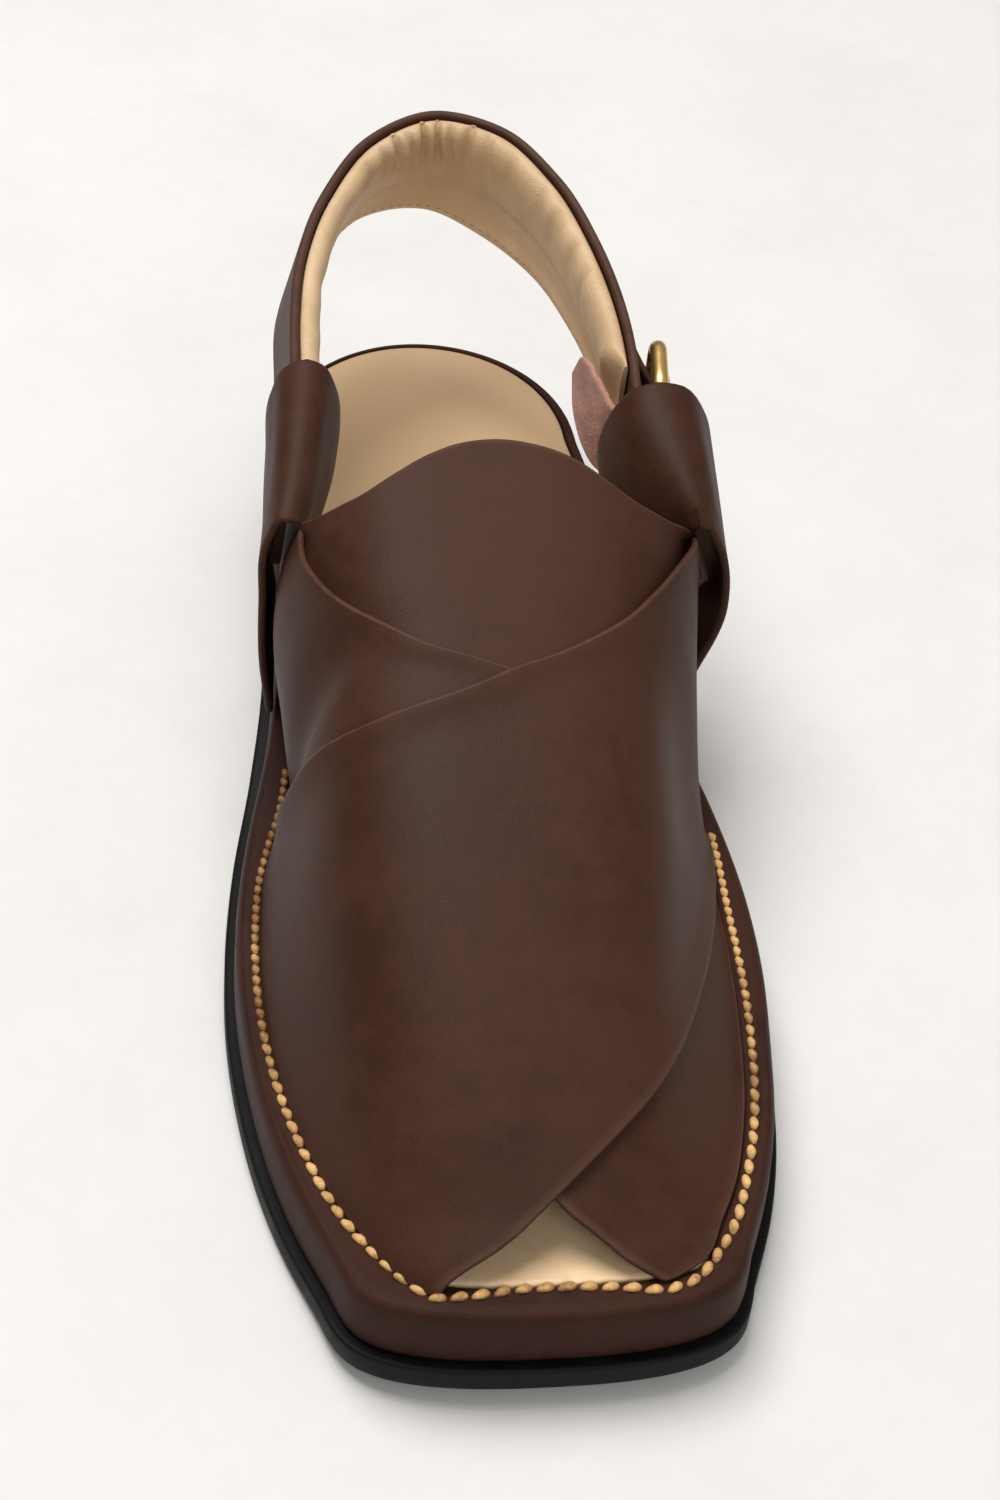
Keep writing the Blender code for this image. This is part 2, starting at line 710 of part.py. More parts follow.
def vamp_faces(vamp, sheet):
    """Triangles of the vamp with the heights of its tongue, under band and top band."""
    tongue = spaced(vamp, TONGUE_EDGE)
    under_upper = spaced(vamp, UNDER_BAND_UPPER)
    top_first = spaced(vamp, TOP_BAND_UPPER[:5])
    top_second = spaced(vamp, TOP_BAND_UPPER[4:])
    top_lower = spaced(vamp, TOP_BAND_LOWER)
    toe_medial = spaced(vamp, TOE_OPENING_MEDIAL)
    toe_lateral = spaced(vamp, TOE_OPENING_LATERAL)
    ends = {"medial": TOE_OPENING_MEDIAL[-1].along, "lateral": TOE_OPENING_LATERAL[-1].along}
    medial_turn, lateral_turn = TOP_BAND_UPPER[-1].along, TOP_BAND_LOWER[-1].along
    medial_rear = ear_root(vamp, CORNER_MEDIAL, 0.0)
    lateral_rear = ear_root(vamp, CORNER_LATERAL, 1.0)
    rear_along = {"medial": -medial_rear[0][1] / LENGTH, "lateral": -lateral_rear[0][1] / LENGTH}
    medial_seam_front = seam_line(vamp, ends["medial"], medial_turn, 0.0)
    medial_seam_rear = seam_line(vamp, medial_turn, rear_along["medial"], 0.0)
    lateral_seam_rear = seam_line(vamp, rear_along["lateral"], lateral_turn, 1.0)
    lateral_seam_front = seam_line(vamp, lateral_turn, ends["lateral"], 1.0)
    border = (
        tongue[:-1]
        + lateral_rear[::-1][:-1]
        + lateral_seam_rear[:-1]
        + lateral_seam_front[:-1]
        + toe_lateral[::-1][:-1]
        + toe_medial[:-1]
        + medial_seam_front[:-1]
        + medial_seam_rear[:-1]
        + medial_rear[:-1]
    )
    top_band = (
        top_first + top_second[1:] + medial_seam_front[::-1][1:]
        + toe_medial[::-1][1:] + top_lower[1:]
        + lateral_seam_rear[::-1][1:] + lateral_rear[1:-1]
    )
    tongue_area = tongue + top_first[1:] + under_upper[::-1][1:-1]
    chains = [border + border[:1], under_upper, top_first, top_second, top_lower]

    points, keys, edges = [], {}, []

    def index(point):
        key = (round(point[0], 4), round(point[1], 4))
        if key not in keys:
            keys[key] = len(points)
            points.append(point)
        return keys[key]

    for chain in chains:
        ids = [index(p) for p in chain]
        edges += [(a, b) for a, b in zip(ids, ids[1:]) if a != b]
    fixed = np.array(points)
    low, high = fixed.min(0), fixed.max(0)
    row_height = VAMP_CELL * math.sqrt(3) / 2
    for row in range(1, int((high[1] - low[1]) / row_height) + 1):
        y = low[1] + row * row_height
        for column in range(int((high[0] - low[0]) / VAMP_CELL) + 1):
            p = (low[0] + (column + 0.5 * (row % 2)) * VAMP_CELL, y)
            clear = np.hypot(*(fixed - p).T).min() > 0.55 * VAMP_CELL
            if clear and inside(p, border):
                index(p)
    flat, _, triangles, *_ = delaunay_2d_cdt(points, edges, [], 0, 1e-5)
    spots = [sheet.vertex(vamp.point(vamp.place(p))) for p in flat]
    for triangle in triangles:
        middle = tuple(sum(flat[i][k] for i in triangle) / 3 for k in (0, 1))
        if not inside(middle, border):
            continue
        if inside(middle, top_band):
            height = TOP_BAND_FACE
        elif inside(middle, tongue_area):
            height = TONGUE_FACE
        else:
            height = UNDER_BAND_FACE
        sheet.add([spots[i] for i in triangle], height)


def ear_root(vamp, corner, around):
    """Flat points of the vamp's rear edge, from the seam up to the tongue's corner."""
    foot = Place(corner.along + 0.004, around)
    shares = closer_at_end(EAR_ROOT_STEPS)
    places = [Place(foot.along + s * (corner.along - foot.along), around + s * (corner.around - around))
              for s in shares]
    return [vamp.flat(place) for place in places]


def closer_at_end(count):
    """Shares from 0 to 1 that lie closer together towards 1."""
    even = np.linspace(0.0, 1.0, count)
    return even * (1.45 - 0.45 * even)


def ear_loop(rim, root=None):
    """Points of the ear's leather at one station: up inside, over the ridge, down outside."""
    foot_z = float(lip_height(rim.y_foot)) + GAP
    top = rim.ridge_z
    y_mid = 0.5 * (rim.y_foot + rim.y_top)
    if root is None:
        turn_x = 0.55 * rim.in_top + 0.45 * rim.ridge_x
        over_x = 0.5 * (rim.ridge_x + rim.out_top)
        inner = [
            (rim.in_foot, rim.y_foot, foot_z),
            (rim.in_mid, y_mid, foot_z + 0.45 * (top - foot_z)),
            (rim.in_top, rim.y_top, top - 11.0),
            (rim.in_top + 0.6 * (turn_x - rim.in_top), rim.y_top, top - 4.6),
            (turn_x + 0.3 * (rim.ridge_x - turn_x), rim.y_top, top - 1.0),
            (rim.ridge_x, rim.y_top, top),
        ]
        inner = smooth_path(inner, closer_at_end(EAR_INNER_STEPS))
        outer = [inner[-1], (over_x, rim.y_top, top - 1.0)]
    else:
        corner = root[-1]
        ridge = np.array((rim.ridge_x, 0.5 * (corner[1] + rim.y_top), top))
        rim_up = corner + (ridge - corner) * (0.2, 0.4, 0.6)
        inner = np.concatenate([root, [rim_up, ridge]])
        outer = [ridge]
    outer += [
        (rim.out_top, rim.y_top, top - 7.0),
        (rim.out_mid, y_mid, foot_z + 0.62 * (top - foot_z)),
        (rim.out_low, 0.8 * rim.y_foot + 0.2 * rim.y_top, foot_z + 0.28 * (top - foot_z)),
        (rim.out_foot, rim.y_foot, foot_z),
    ]
    outer = smooth_path(outer, 1.0 - closer_at_end(EAR_OUTER_STEPS)[::-1])
    return np.concatenate([inner, outer[1:]])


def ear_faces(vamp, sheet, rims, corner, around):
    """Triangles of one ear: a strip that carries on from the vamp's rear edge and folds over."""
    root = [vamp.point(vamp.place(p)) for p in ear_root(vamp, corner, around)]
    front = ear_loop(rims[0], np.array(root))
    middle = ear_loop(rims[1])
    rear = ear_loop(rims[2])
    count = EAR_LENGTH_STEPS
    grid = []
    for k in range(count + 1):
        t = k / count
        weights = ((1 - t) * (1 - 2 * t), 4 * t * (1 - t), t * (2 * t - 1))
        grid.append(weights[0] * front + weights[1] * middle + weights[2] * rear)
    ids = [[sheet.vertex(p) for p in line] for line in grid]
    for k in range(count):
        for i in range(len(front) - 1):
            a, b, c, d = ids[k][i], ids[k + 1][i], ids[k + 1][i + 1], ids[k][i + 1]
            if around == 0.0:
                sheet.add((a, c, b), EAR_FACE)
                sheet.add((a, d, c), EAR_FACE)
            else:
                sheet.add((a, b, c), EAR_FACE)
                sheet.add((a, c, d), EAR_FACE)


def make_upper(finishes):
    """Tongue, crossed bands and ears as one hollow wall, open at toe, throat, ears and below."""
    vamp = Vamp()
    sheet = Sheet(WALL_INSIDE)
    vamp_faces(vamp, sheet)
    ear_faces(vamp, sheet, EAR_MEDIAL, CORNER_MEDIAL, 0.0)
    ear_faces(vamp, sheet, EAR_LATERAL, CORNER_LATERAL, 1.0)
    sheet.solid("upper", finishes["brown"])


# ---- heel strap and its lining -------------------------------------------------------------


def band_frames(rows, count):
    """Even stations along a band: top edge, lower edge and the direction into the shoe."""
    path = smooth_path([tuple(row) for row in rows], count)
    top, low = path[:, :3], path[:, 3:]
    middle = 0.5 * (top + low)
    forward = np.gradient(middle, axis=0)
    inwards = np.cross(forward, top - low)
    inwards /= np.linalg.norm(inwards, axis=1)[:, None]
    return top, low, inwards


def band(name, frames, profile, finish, first=0, last=None):
    """Sweep a profile of (share of height, depth inwards) along a band's stations."""
    top, low, inwards = (part[first:last] for part in frames)
    rings = []
    for t, b, n in zip(top, low, inwards):
        rings.append([b + share * (t - b) + depth * n for share, depth in profile])
    return loft(name, rings, finish)


def make_strap(finishes):
    """Heel strap, brown outside, with its padded lining."""
    frames = band_frames(STRAP, STRAP_STEPS)
    edge = STRAP_LEATHER * 0.35
    leather = (
        (0.0, edge),
        (0.02, 0.0),
        (0.98, 0.0),
        (1.0, edge),
        (0.99, STRAP_LEATHER),
        (0.01, STRAP_LEATHER),
    )
    band("heel_strap", frames, leather, finishes["brown"])
    shift = STRAP_LEATHER + GAP
    first, last = round(LINING_FROM * STRAP_STEPS), round(LINING_TO * STRAP_STEPS)
    lining = [(share, depth + shift) for share, depth in LINING_PROFILE]
    band("strap_lining", frames, lining, finishes["beige"], first, last)


# ---- buckle --------------------------------------------------------------------------------


def tube(name, path, axis, radius, finish, closed=False):
    """Round wire along a flat path; axis is square to the path's plane."""
    path = np.array(path, float)
    if closed:
        forward = np.roll(path, -1, 0) - np.roll(path, 1, 0)
    else:
        forward = np.gradient(path, axis=0)
    forward /= np.linalg.norm(forward, axis=1)[:, None]
    rings = []
    for p, side in zip(path, np.cross(forward, axis)):
        turns = [2 * math.pi * k / WIRE_SIDES for k in range(WIRE_SIDES)]
        rings.append([p + radius * (math.cos(t) * side + math.sin(t) * axis) for t in turns])
    if not closed:
        return loft(name, rings, finish)
    count = WIRE_SIDES
    points = [point for one in rings for point in one]
    faces = []
    for k in range(len(rings)):
        low, high = k * count, (k + 1) % len(rings) * count
        for i in range(count):
            j = (i + 1) % count
            faces.append((low + i, low + j, high + j, high + i))
    return make_object(name, points, faces, finish)


def unit(vector):
    """The vector at length one."""
    return vector / np.linalg.norm(vector)


def buckle_axes():
    """The buckle's directions: from front bar to rear bar, upwards, and out of the shoe."""
    along = unit(np.array(BUCKLE_REAR) - np.array(BUCKLE_FRONT))
    up = np.array((0.0, 0.0, 1.0))
    up = unit(up - up.dot(along) * along)
    return along, up, np.cross(along, up)


def make_buckle(finishes):
    """Brass frame, and the prong that turns on its front bar and rests on its rear bar."""
    front, rear = np.array(BUCKLE_FRONT), np.array(BUCKLE_REAR)
    along, up, outwards = buckle_axes()
    half_length = 0.5 * np.linalg.norm(rear - front)
    half_height = 0.5 * BUCKLE_HEIGHT
    path = []
    for turn, (sx, sz) in enumerate(((1, 1), (-1, 1), (-1, -1), (1, -1))):
        for k in range(4):
            angle = math.pi / 2 * (turn + k / 3)
            across = sx * (half_length - BUCKLE_CORNER) + BUCKLE_CORNER * math.cos(angle)
            high = sz * (half_height - BUCKLE_CORNER) + BUCKLE_CORNER * math.sin(angle)
            path.append(0.5 * (front + rear) + across * along + high * up)
    tube("buckle_frame", path, outwards, BRASS_WIRE / 2, finishes["brass"], closed=True)

    eye = BRASS_WIRE / 2 + GAP + PRONG_WIRE / 2
    turns = np.radians(np.linspace(90.0 + PRONG_EYE, 90.0, 15))
    prong = [front + eye * (math.cos(t) * along + math.sin(t) * outwards) for t in turns]
    prong += [rear + eye * outwards, rear + eye * outwards + PRONG_PAST * along]
    tube("buckle_prong", prong, up, PRONG_WIRE / 2, finishes["brass"])


def narrow_strap(name, lines, is_open, thickness, finish):
    """Narrow strap through stations of (low point, top point); some cells of its middle row are open."""
    sheet = Sheet(-thickness / 2)
    ids = [[sheet.vertex(low + share * (top - low)) for share in NARROW_SHARES] for low, top in lines]
    for k, (near, far) in enumerate(zip(ids, ids[1:])):
        for row in range(len(NARROW_SHARES) - 1):
            if row == 1 and is_open(k):
                continue
            sheet.add((near[row], far[row], far[row + 1]), thickness / 2)
            sheet.add((near[row], far[row + 1], near[row + 1]), thickness / 2)
    return sheet.solid(name, finish)


def make_chape(finishes):
    """Chape folded round the buckle's front bar, and the rivet that closes it."""
    along, up, _ = buckle_axes()
    middle = smooth_path(CHAPE_LINE, CHAPE_STEPS)
    forward = np.gradient(middle, axis=0)
    forward /= np.linalg.norm(forward, axis=1)[:, None]
    forward[0] = -along
    across = np.array([unit(up - up.dot(f) * f) for f in forward])
    outwards = np.cross(across, forward)
    around_bar = BRASS_WIRE / 2 + GAP + CHAPE / 2
    pressed = (CHAPE + GAP) / 2
    run = np.linalg.norm(middle - middle[0], axis=1)
    apart = pressed + (around_bar - pressed) * (1 - smoothstep((run - 1.0) / 9.0))
    half = CHAPE_HEIGHT / 2 * across
    outer = [(p - h, p + h) for p, h in zip(middle + apart[:, None] * outwards, half)]
    inner = [(p - h, p + h) for p, h in zip(middle - apart[:, None] * outwards, half)]
    bend = []
    for t in np.radians((60.0, 30.0, 0.0, -30.0, -60.0)):
        p = middle[0] + around_bar * (math.sin(t) * outwards[0] + math.cos(t) * along)
        bend.append((p - half[0], p + half[0]))
    lines = outer[::-1] + bend + inner
    reach = [np.linalg.norm(0.5 * (low + top) - middle[0]) for low, top in lines]
    riveted = (CHAPE_STEPS - 1 - RIVET_STATION, len(lines) - 1 - (CHAPE_STEPS - RIVET_STATION - 1))

    def is_open(cell):
        return max(reach[cell], reach[cell + 1]) < SLOT_REACH or cell in (riveted[0], riveted[1] - 1)

    narrow_strap("chape", lines, is_open, CHAPE, finishes["brown"])
    rivet_at = 0.5 * (middle[RIVET_STATION] + middle[RIVET_STATION - 1])
    make_rivet(rivet_at, outwards[RIVET_STATION], across[RIVET_STATION], finishes)


def make_rivet(place, axis, side, finishes):
    """Rivet with its shank along axis, head outside and washer inside."""
    seat = CHAPE + GAP / 2 + 0.2
    profile = [(-seat - out, radius) for out, radius in RIVET_WASHER]
    profile += [(-seat, RIVET_SHANK), (seat, RIVET_SHANK)]
    profile += [(seat + out, radius) for out, radius in RIVET_HEAD]
    other = np.cross(axis, side)
    turns = [2 * math.pi * k / RIVET_SIDES for k in range(RIVET_SIDES)]
    rings = [[place + at * axis + radius * (math.cos(t) * side + math.sin(t) * other) for t in turns]
             for at, radius in profile]
    loft("rivet", rings, finishes["brass"])


def make_fastening_strap(finishes):
    """Narrow strap sewn on the heel strap's outer face; it passes the buckle and ends in the ear."""
    top, low, inwards = band_frames(STRAP, STRAP_STEPS)
    middle = 0.5 * (top + low) - (1.5 * GAP + FASTENING / 2) * inwards
    sewn = [p for p in middle if p[0] > 0.0 and FASTENING_FREE_Y < p[1] < FASTENING_FROM_Y]
    line = smooth_path(sewn + [np.array(p) for p in FASTENING_LINE], FASTENING_STEPS)
    forward = np.gradient(line, axis=0)
    lines = []
    for p, f in zip(line, forward):
        up = np.array((0.0, 0.0, 1.0))
        half = FASTENING_HEIGHT / 2 * unit(up - up.dot(unit(f)) * unit(f))
        lines.append((p - half, p + half))
    tip = lines[-1]
    lines[-1] = (tip[0] + 0.3 * (tip[1] - tip[0]), tip[1] - 0.3 * (tip[1] - tip[0]))

    def is_open(cell):
        near, far = line[cell][1], line[cell + 1][1]
        return FASTENING_SLOT_Y[0] < near and max(near, far) < FASTENING_SLOT_Y[1]

    narrow_strap("fastening_strap", lines, is_open, FASTENING, finishes["brown"])


def make_tab(finishes):
    """Suede guard tab between the strap and the foot."""
    frames = band_frames(TAB, 9)
    profile = ((0.0, 0.0), (1.0, 0.0), (1.0, TAB_THICK), (0.0, TAB_THICK))
    band("guard_tab", frames, profile, finishes["suede"])


def main():
    """Build the shoe."""
    for thing in list(bpy.data.objects):
        bpy.data.objects.remove(thing)
    finishes = {
        "rubber": material("black_rubber", RUBBER, 0.55),
        "brown": material("brown_leather", BROWN, 0.42),
        "beige": material("beige_leather", BEIGE, 0.55),
        "suede": material("red_suede", SUEDE, 0.95),
        "brass": material("brass", BRASS, 0.25, 1.0),
    }
    make_sole(finishes)
    make_upper(finishes)
    make_strap(finishes)
    make_buckle(finishes)
    make_chape(finishes)
    make_fastening_strap(finishes)
    make_tab(finishes)


if __name__ == "__main__":
    main()
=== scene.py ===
"""Peshawari chappal, left foot: the visible shoe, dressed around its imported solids.

A square-toed sandal with a tongue, two crossed bands that fold over into ears at the instep, a
padded heel strap with a brass buckle, and a leather-wrapped platform on a black rubber sole.
Tables are in millimetres, in the shoe's own frame: Z up, toe towards -Y, buckle towards +X.
MM turns them into metres.
"""

from __future__ import annotations

import logging
import math
from dataclasses import dataclass, field
from enum import Enum
from typing import Callable, NamedTuple, Optional, Sequence

import bpy
import numpy as np
from mathutils import Matrix, Vector

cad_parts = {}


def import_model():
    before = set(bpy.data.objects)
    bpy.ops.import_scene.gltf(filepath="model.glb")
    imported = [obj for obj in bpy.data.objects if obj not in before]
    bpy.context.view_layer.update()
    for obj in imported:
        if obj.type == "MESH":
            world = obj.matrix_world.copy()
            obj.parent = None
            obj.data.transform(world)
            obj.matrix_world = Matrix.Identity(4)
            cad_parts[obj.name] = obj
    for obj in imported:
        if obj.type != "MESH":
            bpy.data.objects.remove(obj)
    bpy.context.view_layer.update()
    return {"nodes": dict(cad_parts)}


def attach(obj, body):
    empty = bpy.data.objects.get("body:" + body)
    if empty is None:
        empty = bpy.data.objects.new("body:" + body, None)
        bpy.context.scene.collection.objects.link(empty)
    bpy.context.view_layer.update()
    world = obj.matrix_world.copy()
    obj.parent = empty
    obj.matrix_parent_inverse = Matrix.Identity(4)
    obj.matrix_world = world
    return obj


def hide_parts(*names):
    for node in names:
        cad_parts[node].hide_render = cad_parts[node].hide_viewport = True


LOG = logging.getLogger("chappal")
MM = 0.001
GAP = 0.3  # room between pieces that touch
Array = np.ndarray
Piece = bpy.types.Object


# ---- tables of the shoe --------------------------------------------------------------------


class Side(NamedTuple):
    """Half widths of the outsole at one station; along is a share of the length from the heel."""

    along: float
    medial: float
    lateral: float


SIDES = (
    Side(0.140, 0.355, 0.336),
    Side(0.208, 0.371, 0.359),
    Side(0.293, 0.386, 0.375),
    Side(0.377, 0.397, 0.389),
    Side(0.462, 0.431, 0.421),
    Side(0.546, 0.473, 0.466),
    Side(0.631, 0.499, 0.493),
    Side(0.698, 0.505, 0.495),
    Side(0.766, 0.493, 0.479),
    Side(0.834, 0.464, 0.453),
    Side(0.884, 0.429, 0.418),
    Side(0.935, 0.380, 0.366),
)


class Level(NamedTuple):
    """Height of the wrapped platform's top edge at one station."""

    along: float
    lip: float


LEVELS = (
    Level(0.000, 28.0),
    Level(0.208, 27.6),
    Level(0.309, 25.6),
    Level(0.445, 23.2),
    Level(0.546, 21.8),
    Level(0.698, 20.5),
    Level(0.834, 20.6),
    Level(0.935, 22.2),
    Level(1.000, 24.0),
)


class LipEdge(NamedTuple):
    """Inner edge of the platform's lip at one station, in from the outsole's edge."""

    along: float
    medial: float
    lateral: float


LIP_EDGES = (
    LipEdge(0.000, 3.6, 3.8),
    LipEdge(0.100, 3.6, 5.0),
    LipEdge(0.200, 4.4, 5.2),
    LipEdge(0.300, 5.8, 6.2),
    LipEdge(0.400, 7.8, 7.8),
    LipEdge(0.450, 8.3, 8.1),
    LipEdge(0.500, 10.4, 8.2),
    LipEdge(0.540, 10.6, 8.2),
    LipEdge(0.570, 9.4, 8.5),
    LipEdge(0.610, 8.5, 9.0),
    LipEdge(0.650, 8.3, 9.5),
    LipEdge(0.700, 8.1, 9.4),
    LipEdge(0.770, 7.9, 8.9),
    LipEdge(0.860, 8.6, 8.5),
    LipEdge(0.918, 9.4, 8.4),
    LipEdge(0.945, 10.6, 9.2),
    LipEdge(0.970, 11.6, 9.5),
    LipEdge(0.985, 10.6, 9.2),
    LipEdge(1.000, 9.8, 9.8),
)
# the hand stitches' line on the lip: medial side, round the toe, lateral side
STITCH_LINE = (
    (-41.4, -107.4), (-43.5, -119.8), (-46.1, -128.6), (-48.9, -140.4), (-50.1, -151.1), (-50.6, -161.5),
    (-50.5, -171.8), (-49.5, -184.0), (-47.7, -195.0), (-45.7, -203.7), (-43.5, -211.5), (-40.6, -220.0),
    (-37.4, -227.3), (-33.8, -233.5), (-30.0, -238.8), (-26.6, -243.0), (-22.6, -246.2), (-17.0, -246.3),
    (-5.7, -245.2), (3.3, -245.2), (12.1, -245.8), (20.3, -246.8), (25.5, -245.0), (31.0, -239.0),
    (36.0, -230.9), (40.0, -220.1), (42.9, -210.4), (45.4, -198.0), (46.9, -185.4), (47.8, -172.5),
    (48.0, -159.3), (48.0, -148.5), (48.1, -137.4), (47.9, -128.0),
)


class Section(NamedTuple):
    """Cross-section of the vamp at one station."""

    along: float
    rise: float  # crown above the platform, share of the instep's rise
    crown_x: float
    square: float  # superellipse power: 2 is an ellipse, more is squarer
    medial_lean: float  # how far the sides stand out of the superellipse
    lateral_lean: float
    lateral_high: float  # above 1 the lateral side stands out higher up


SECTIONS = (
    Section(0.418, 1.010, -1.0, 3.9, 4.2, 10.6, 1.95),
    Section(0.479, 0.940, -1.5, 3.8, 5.0, 5.8, 2.00),
    Section(0.539, 0.872, -2.5, 3.3, 1.6, -0.6, 1.60),
    Section(0.597, 0.796, -3.5, 2.9, -3.4, -7.0, 1.10),
    Section(0.698, 0.655, -4.5, 2.6, -5.0, -9.6, 1.00),
    Section(0.783, 0.511, -5.0, 2.35, -4.7, -9.9, 1.00),
    Section(0.851, 0.371, -4.5, 2.2, -3.8, -8.6, 1.00),
    Section(0.901, 0.246, -3.5, 2.1, -2.7, -6.5, 1.00),
    Section(0.938, 0.132, -2.5, 2.1, -1.5, -4.0, 1.00),
    Section(0.974, 0.039, -1.5, 2.1, -0.3, -1.3, 1.00),
)


class Place(NamedTuple):
    """A point of a seam or an edge on the vamp."""

    along: float
    around: float  # 0 at the medial seam, 1 at the lateral seam


CORNER_MEDIAL = Place(0.4385, 0.256)  # where the tongue's edge meets the ears
CORNER_LATERAL = Place(0.4370, 0.769)
CROSSING = Place(0.6025, 0.516)  # the two bands' upper edges
TOE_APEX = Place(0.926, 0.5105)  # top of the toe opening
ROOT_STEP = 0.004  # an ear's root ends this much nearer the toe at the sole than at its corner
TONGUE_EDGE = (
    CORNER_MEDIAL, Place(0.4478, 0.285), Place(0.4521, 0.317), Place(0.4534, 0.355),
    Place(0.4450, 0.392), Place(0.4345, 0.424), Place(0.4260, 0.456), Place(0.4225, 0.496),
    Place(0.4260, 0.534), Place(0.4361, 0.584), Place(0.4476, 0.620), Place(0.4565, 0.656),
    Place(0.4555, 0.707), CORNER_LATERAL,
)
TONGUE_HIDDEN = (  # the tongue's front edge, covered by the bands
    Place(0.4465, 0.215), Place(0.505, 0.240), Place(0.560, 0.285), Place(0.610, 0.360),
    Place(0.637, 0.440), Place(0.640, 0.514), Place(0.625, 0.590), Place(0.585, 0.670),
    Place(0.525, 0.735), Place(0.4400, 0.800),
)
UNDER_BAND_UPPER = (
    CORNER_MEDIAL, Place(0.4781, 0.272), Place(0.5056, 0.290), Place(0.5486, 0.338),
    Place(0.5808, 0.407), Place(0.5920, 0.461), CROSSING,
    Place(0.609, 0.560),  # from here on the top band covers it
    Place(0.609, 0.680), Place(0.585, 0.860), Place(0.560, 1.000),
)
UNDER_BAND_LOWER = (
    Place(0.620, 0.000), Place(0.700, 0.120), Place(0.800, 0.270), Place(0.890, 0.425), TOE_APEX,
    Place(0.9440, 0.604), Place(0.9589, 0.735), Place(0.9700, 1.000),
)
TOP_BAND_UPPER = (
    CORNER_LATERAL, Place(0.4715, 0.735), Place(0.4961, 0.713), Place(0.5209, 0.690),
    Place(0.5474, 0.658), Place(0.5659, 0.629), Place(0.5799, 0.601), Place(0.5911, 0.570), CROSSING,
    Place(0.6165, 0.455), Place(0.6215, 0.425), Place(0.6264, 0.380), Place(0.6290, 0.333),
    Place(0.6270, 0.298), Place(0.6200, 0.250), Place(0.6120, 0.199), Place(0.6050, 0.150),
    Place(0.5950, 0.100), Place(0.5760, 0.040), Place(0.5600, 0.000),
)
TOP_BAND_LOWER = (
    Place(0.5633, 1.000), Place(0.6329, 0.972), Place(0.6935, 0.923), Place(0.7436, 0.882),
    Place(0.7845, 0.839), Place(0.8389, 0.763), Place(0.8758, 0.696), Place(0.8990, 0.630), TOE_APEX,
    Place(0.9549, 0.290), Place(0.9695, 0.000),
)


class EarRim(NamedTuple):
    """Loop of an ear at one station: the leather goes up inside, over the top, down outside."""

    y_top: float
    y_foot: float
    in_foot: float
    in_mid: float
    in_top: float
    ridge_x: float
    ridge_z: float
    out_top: float
    out_mid: float
    out_low: float
    out_foot: float


EAR_MEDIAL = (
    EarRim(-89.5, -90.0, 0, 0, 0, -42.2, 75.4, -44.6, -44.8, -44.4, -42.6),
    EarRim(-69.0, -70.0, -40.0, -38.8, -33.4, -37.6, 81.2, -41.8, -42.8, -42.8, -41.2),
    EarRim(-50.0, -50.0, -40.3, -38.7, -29.8, -35.2, 86.4, -40.6, -41.4, -41.4, -39.8),
)
EAR_LATERAL = (
    EarRim(-91.5, -96.0, 0, 0, 0, 46.0, 73.8, 49.6, 51.0, 46.0, 40.9),
    EarRim(-74.0, -79.0, 38.0, 36.0, 34.2, 42.4, 81.0, 48.8, 51.8, 47.4, 40.6),
    EarRim(-58.5, -62.0, 37.0, 33.6, 30.8, 39.8, 86.2, 48.8, 50.8, 46.0, 39.6),
)


class EdgeRow(NamedTuple):
    """Top edge and lower edge of a strap at one station."""

    top_x: float
    top_y: float
    top_z: float
    low_x: float
    low_y: float
    low_z: float


HEEL_STRAP = (
    EdgeRow(-42.7, -80.0, 71.5, -44.0, -79.0, 56.0),
    EdgeRow(-40.2, -62.0, 78.0, -42.4, -60.0, 57.5),
    EdgeRow(-38.3, -44.0, 82.5, -40.6, -38.0, 59.0),
    EdgeRow(-37.4, -28.0, 84.6, -40.2, -20.0, 60.5),
    EdgeRow(-34.7, -8.6, 87.2, -38.8, -1.0, 62.6),
    EdgeRow(-27.8, 12.0, 90.5, -31.6, 19.0, 67.0),
    EdgeRow(-16.6, 29.0, 94.3, -18.8, 33.2, 70.8),
    EdgeRow(0.3, 37.3, 96.3, 0.4, 39.6, 68.8),
    EdgeRow(16.6, 31.4, 95.0, 14.6, 30.6, 66.0),
    EdgeRow(27.6, 16.8, 91.6, 26.0, 17.2, 63.4),
    EdgeRow(34.3, -2.8, 88.1, 33.4, -3.4, 61.4),
    EdgeRow(37.7, -22.7, 85.2, 37.0, -22.0, 60.0),
    EdgeRow(38.4, -41.0, 83.0, 38.2, -40.0, 60.0),
    EdgeRow(38.0, -50.0, 81.6, 38.0, -49.5, 60.0),
    EdgeRow(38.3, -62.0, 79.5, 38.3, -61.0, 60.0),
)
GUARD_TAB = (
    EdgeRow(28.4, -34.0, 76.8, 26.9, -33.2, 71.2),
    EdgeRow(29.6, -40.0, 78.4, 26.9, -39.0, 65.6),
    EdgeRow(31.0, -49.0, 78.4, 29.4, -50.0, 60.6),
    EdgeRow(35.2, -60.0, 77.6, 35.4, -60.0, 60.0),
    EdgeRow(36.6, -68.0, 75.0, 36.8, -68.0, 59.5),
)

BUCKLE_FRONT = (42.3, -50.0, 69.2)  # middle of the bar that the chape holds
BUCKLE_REAR = (44.0, -33.6, 70.6)  # middle of the bar that the prong rests on
CHAPE_LINE = (
    BUCKLE_FRONT,
    (42.6, -55.0, 68.6),
    (43.8, -62.0, 64.6),
    (45.6, -70.0, 58.4),
    (48.3, -81.0, 50.0),
)
FASTENING_LINE = (
    (41.0, -33.6, 70.9),
    (43.4, -42.0, 70.2),
    (46.6, -50.5, 69.0),
    (47.3, -58.0, 67.2),
    (47.4, -65.0, 65.2),
)


# ---- curves --------------------------------------------------------------------------------


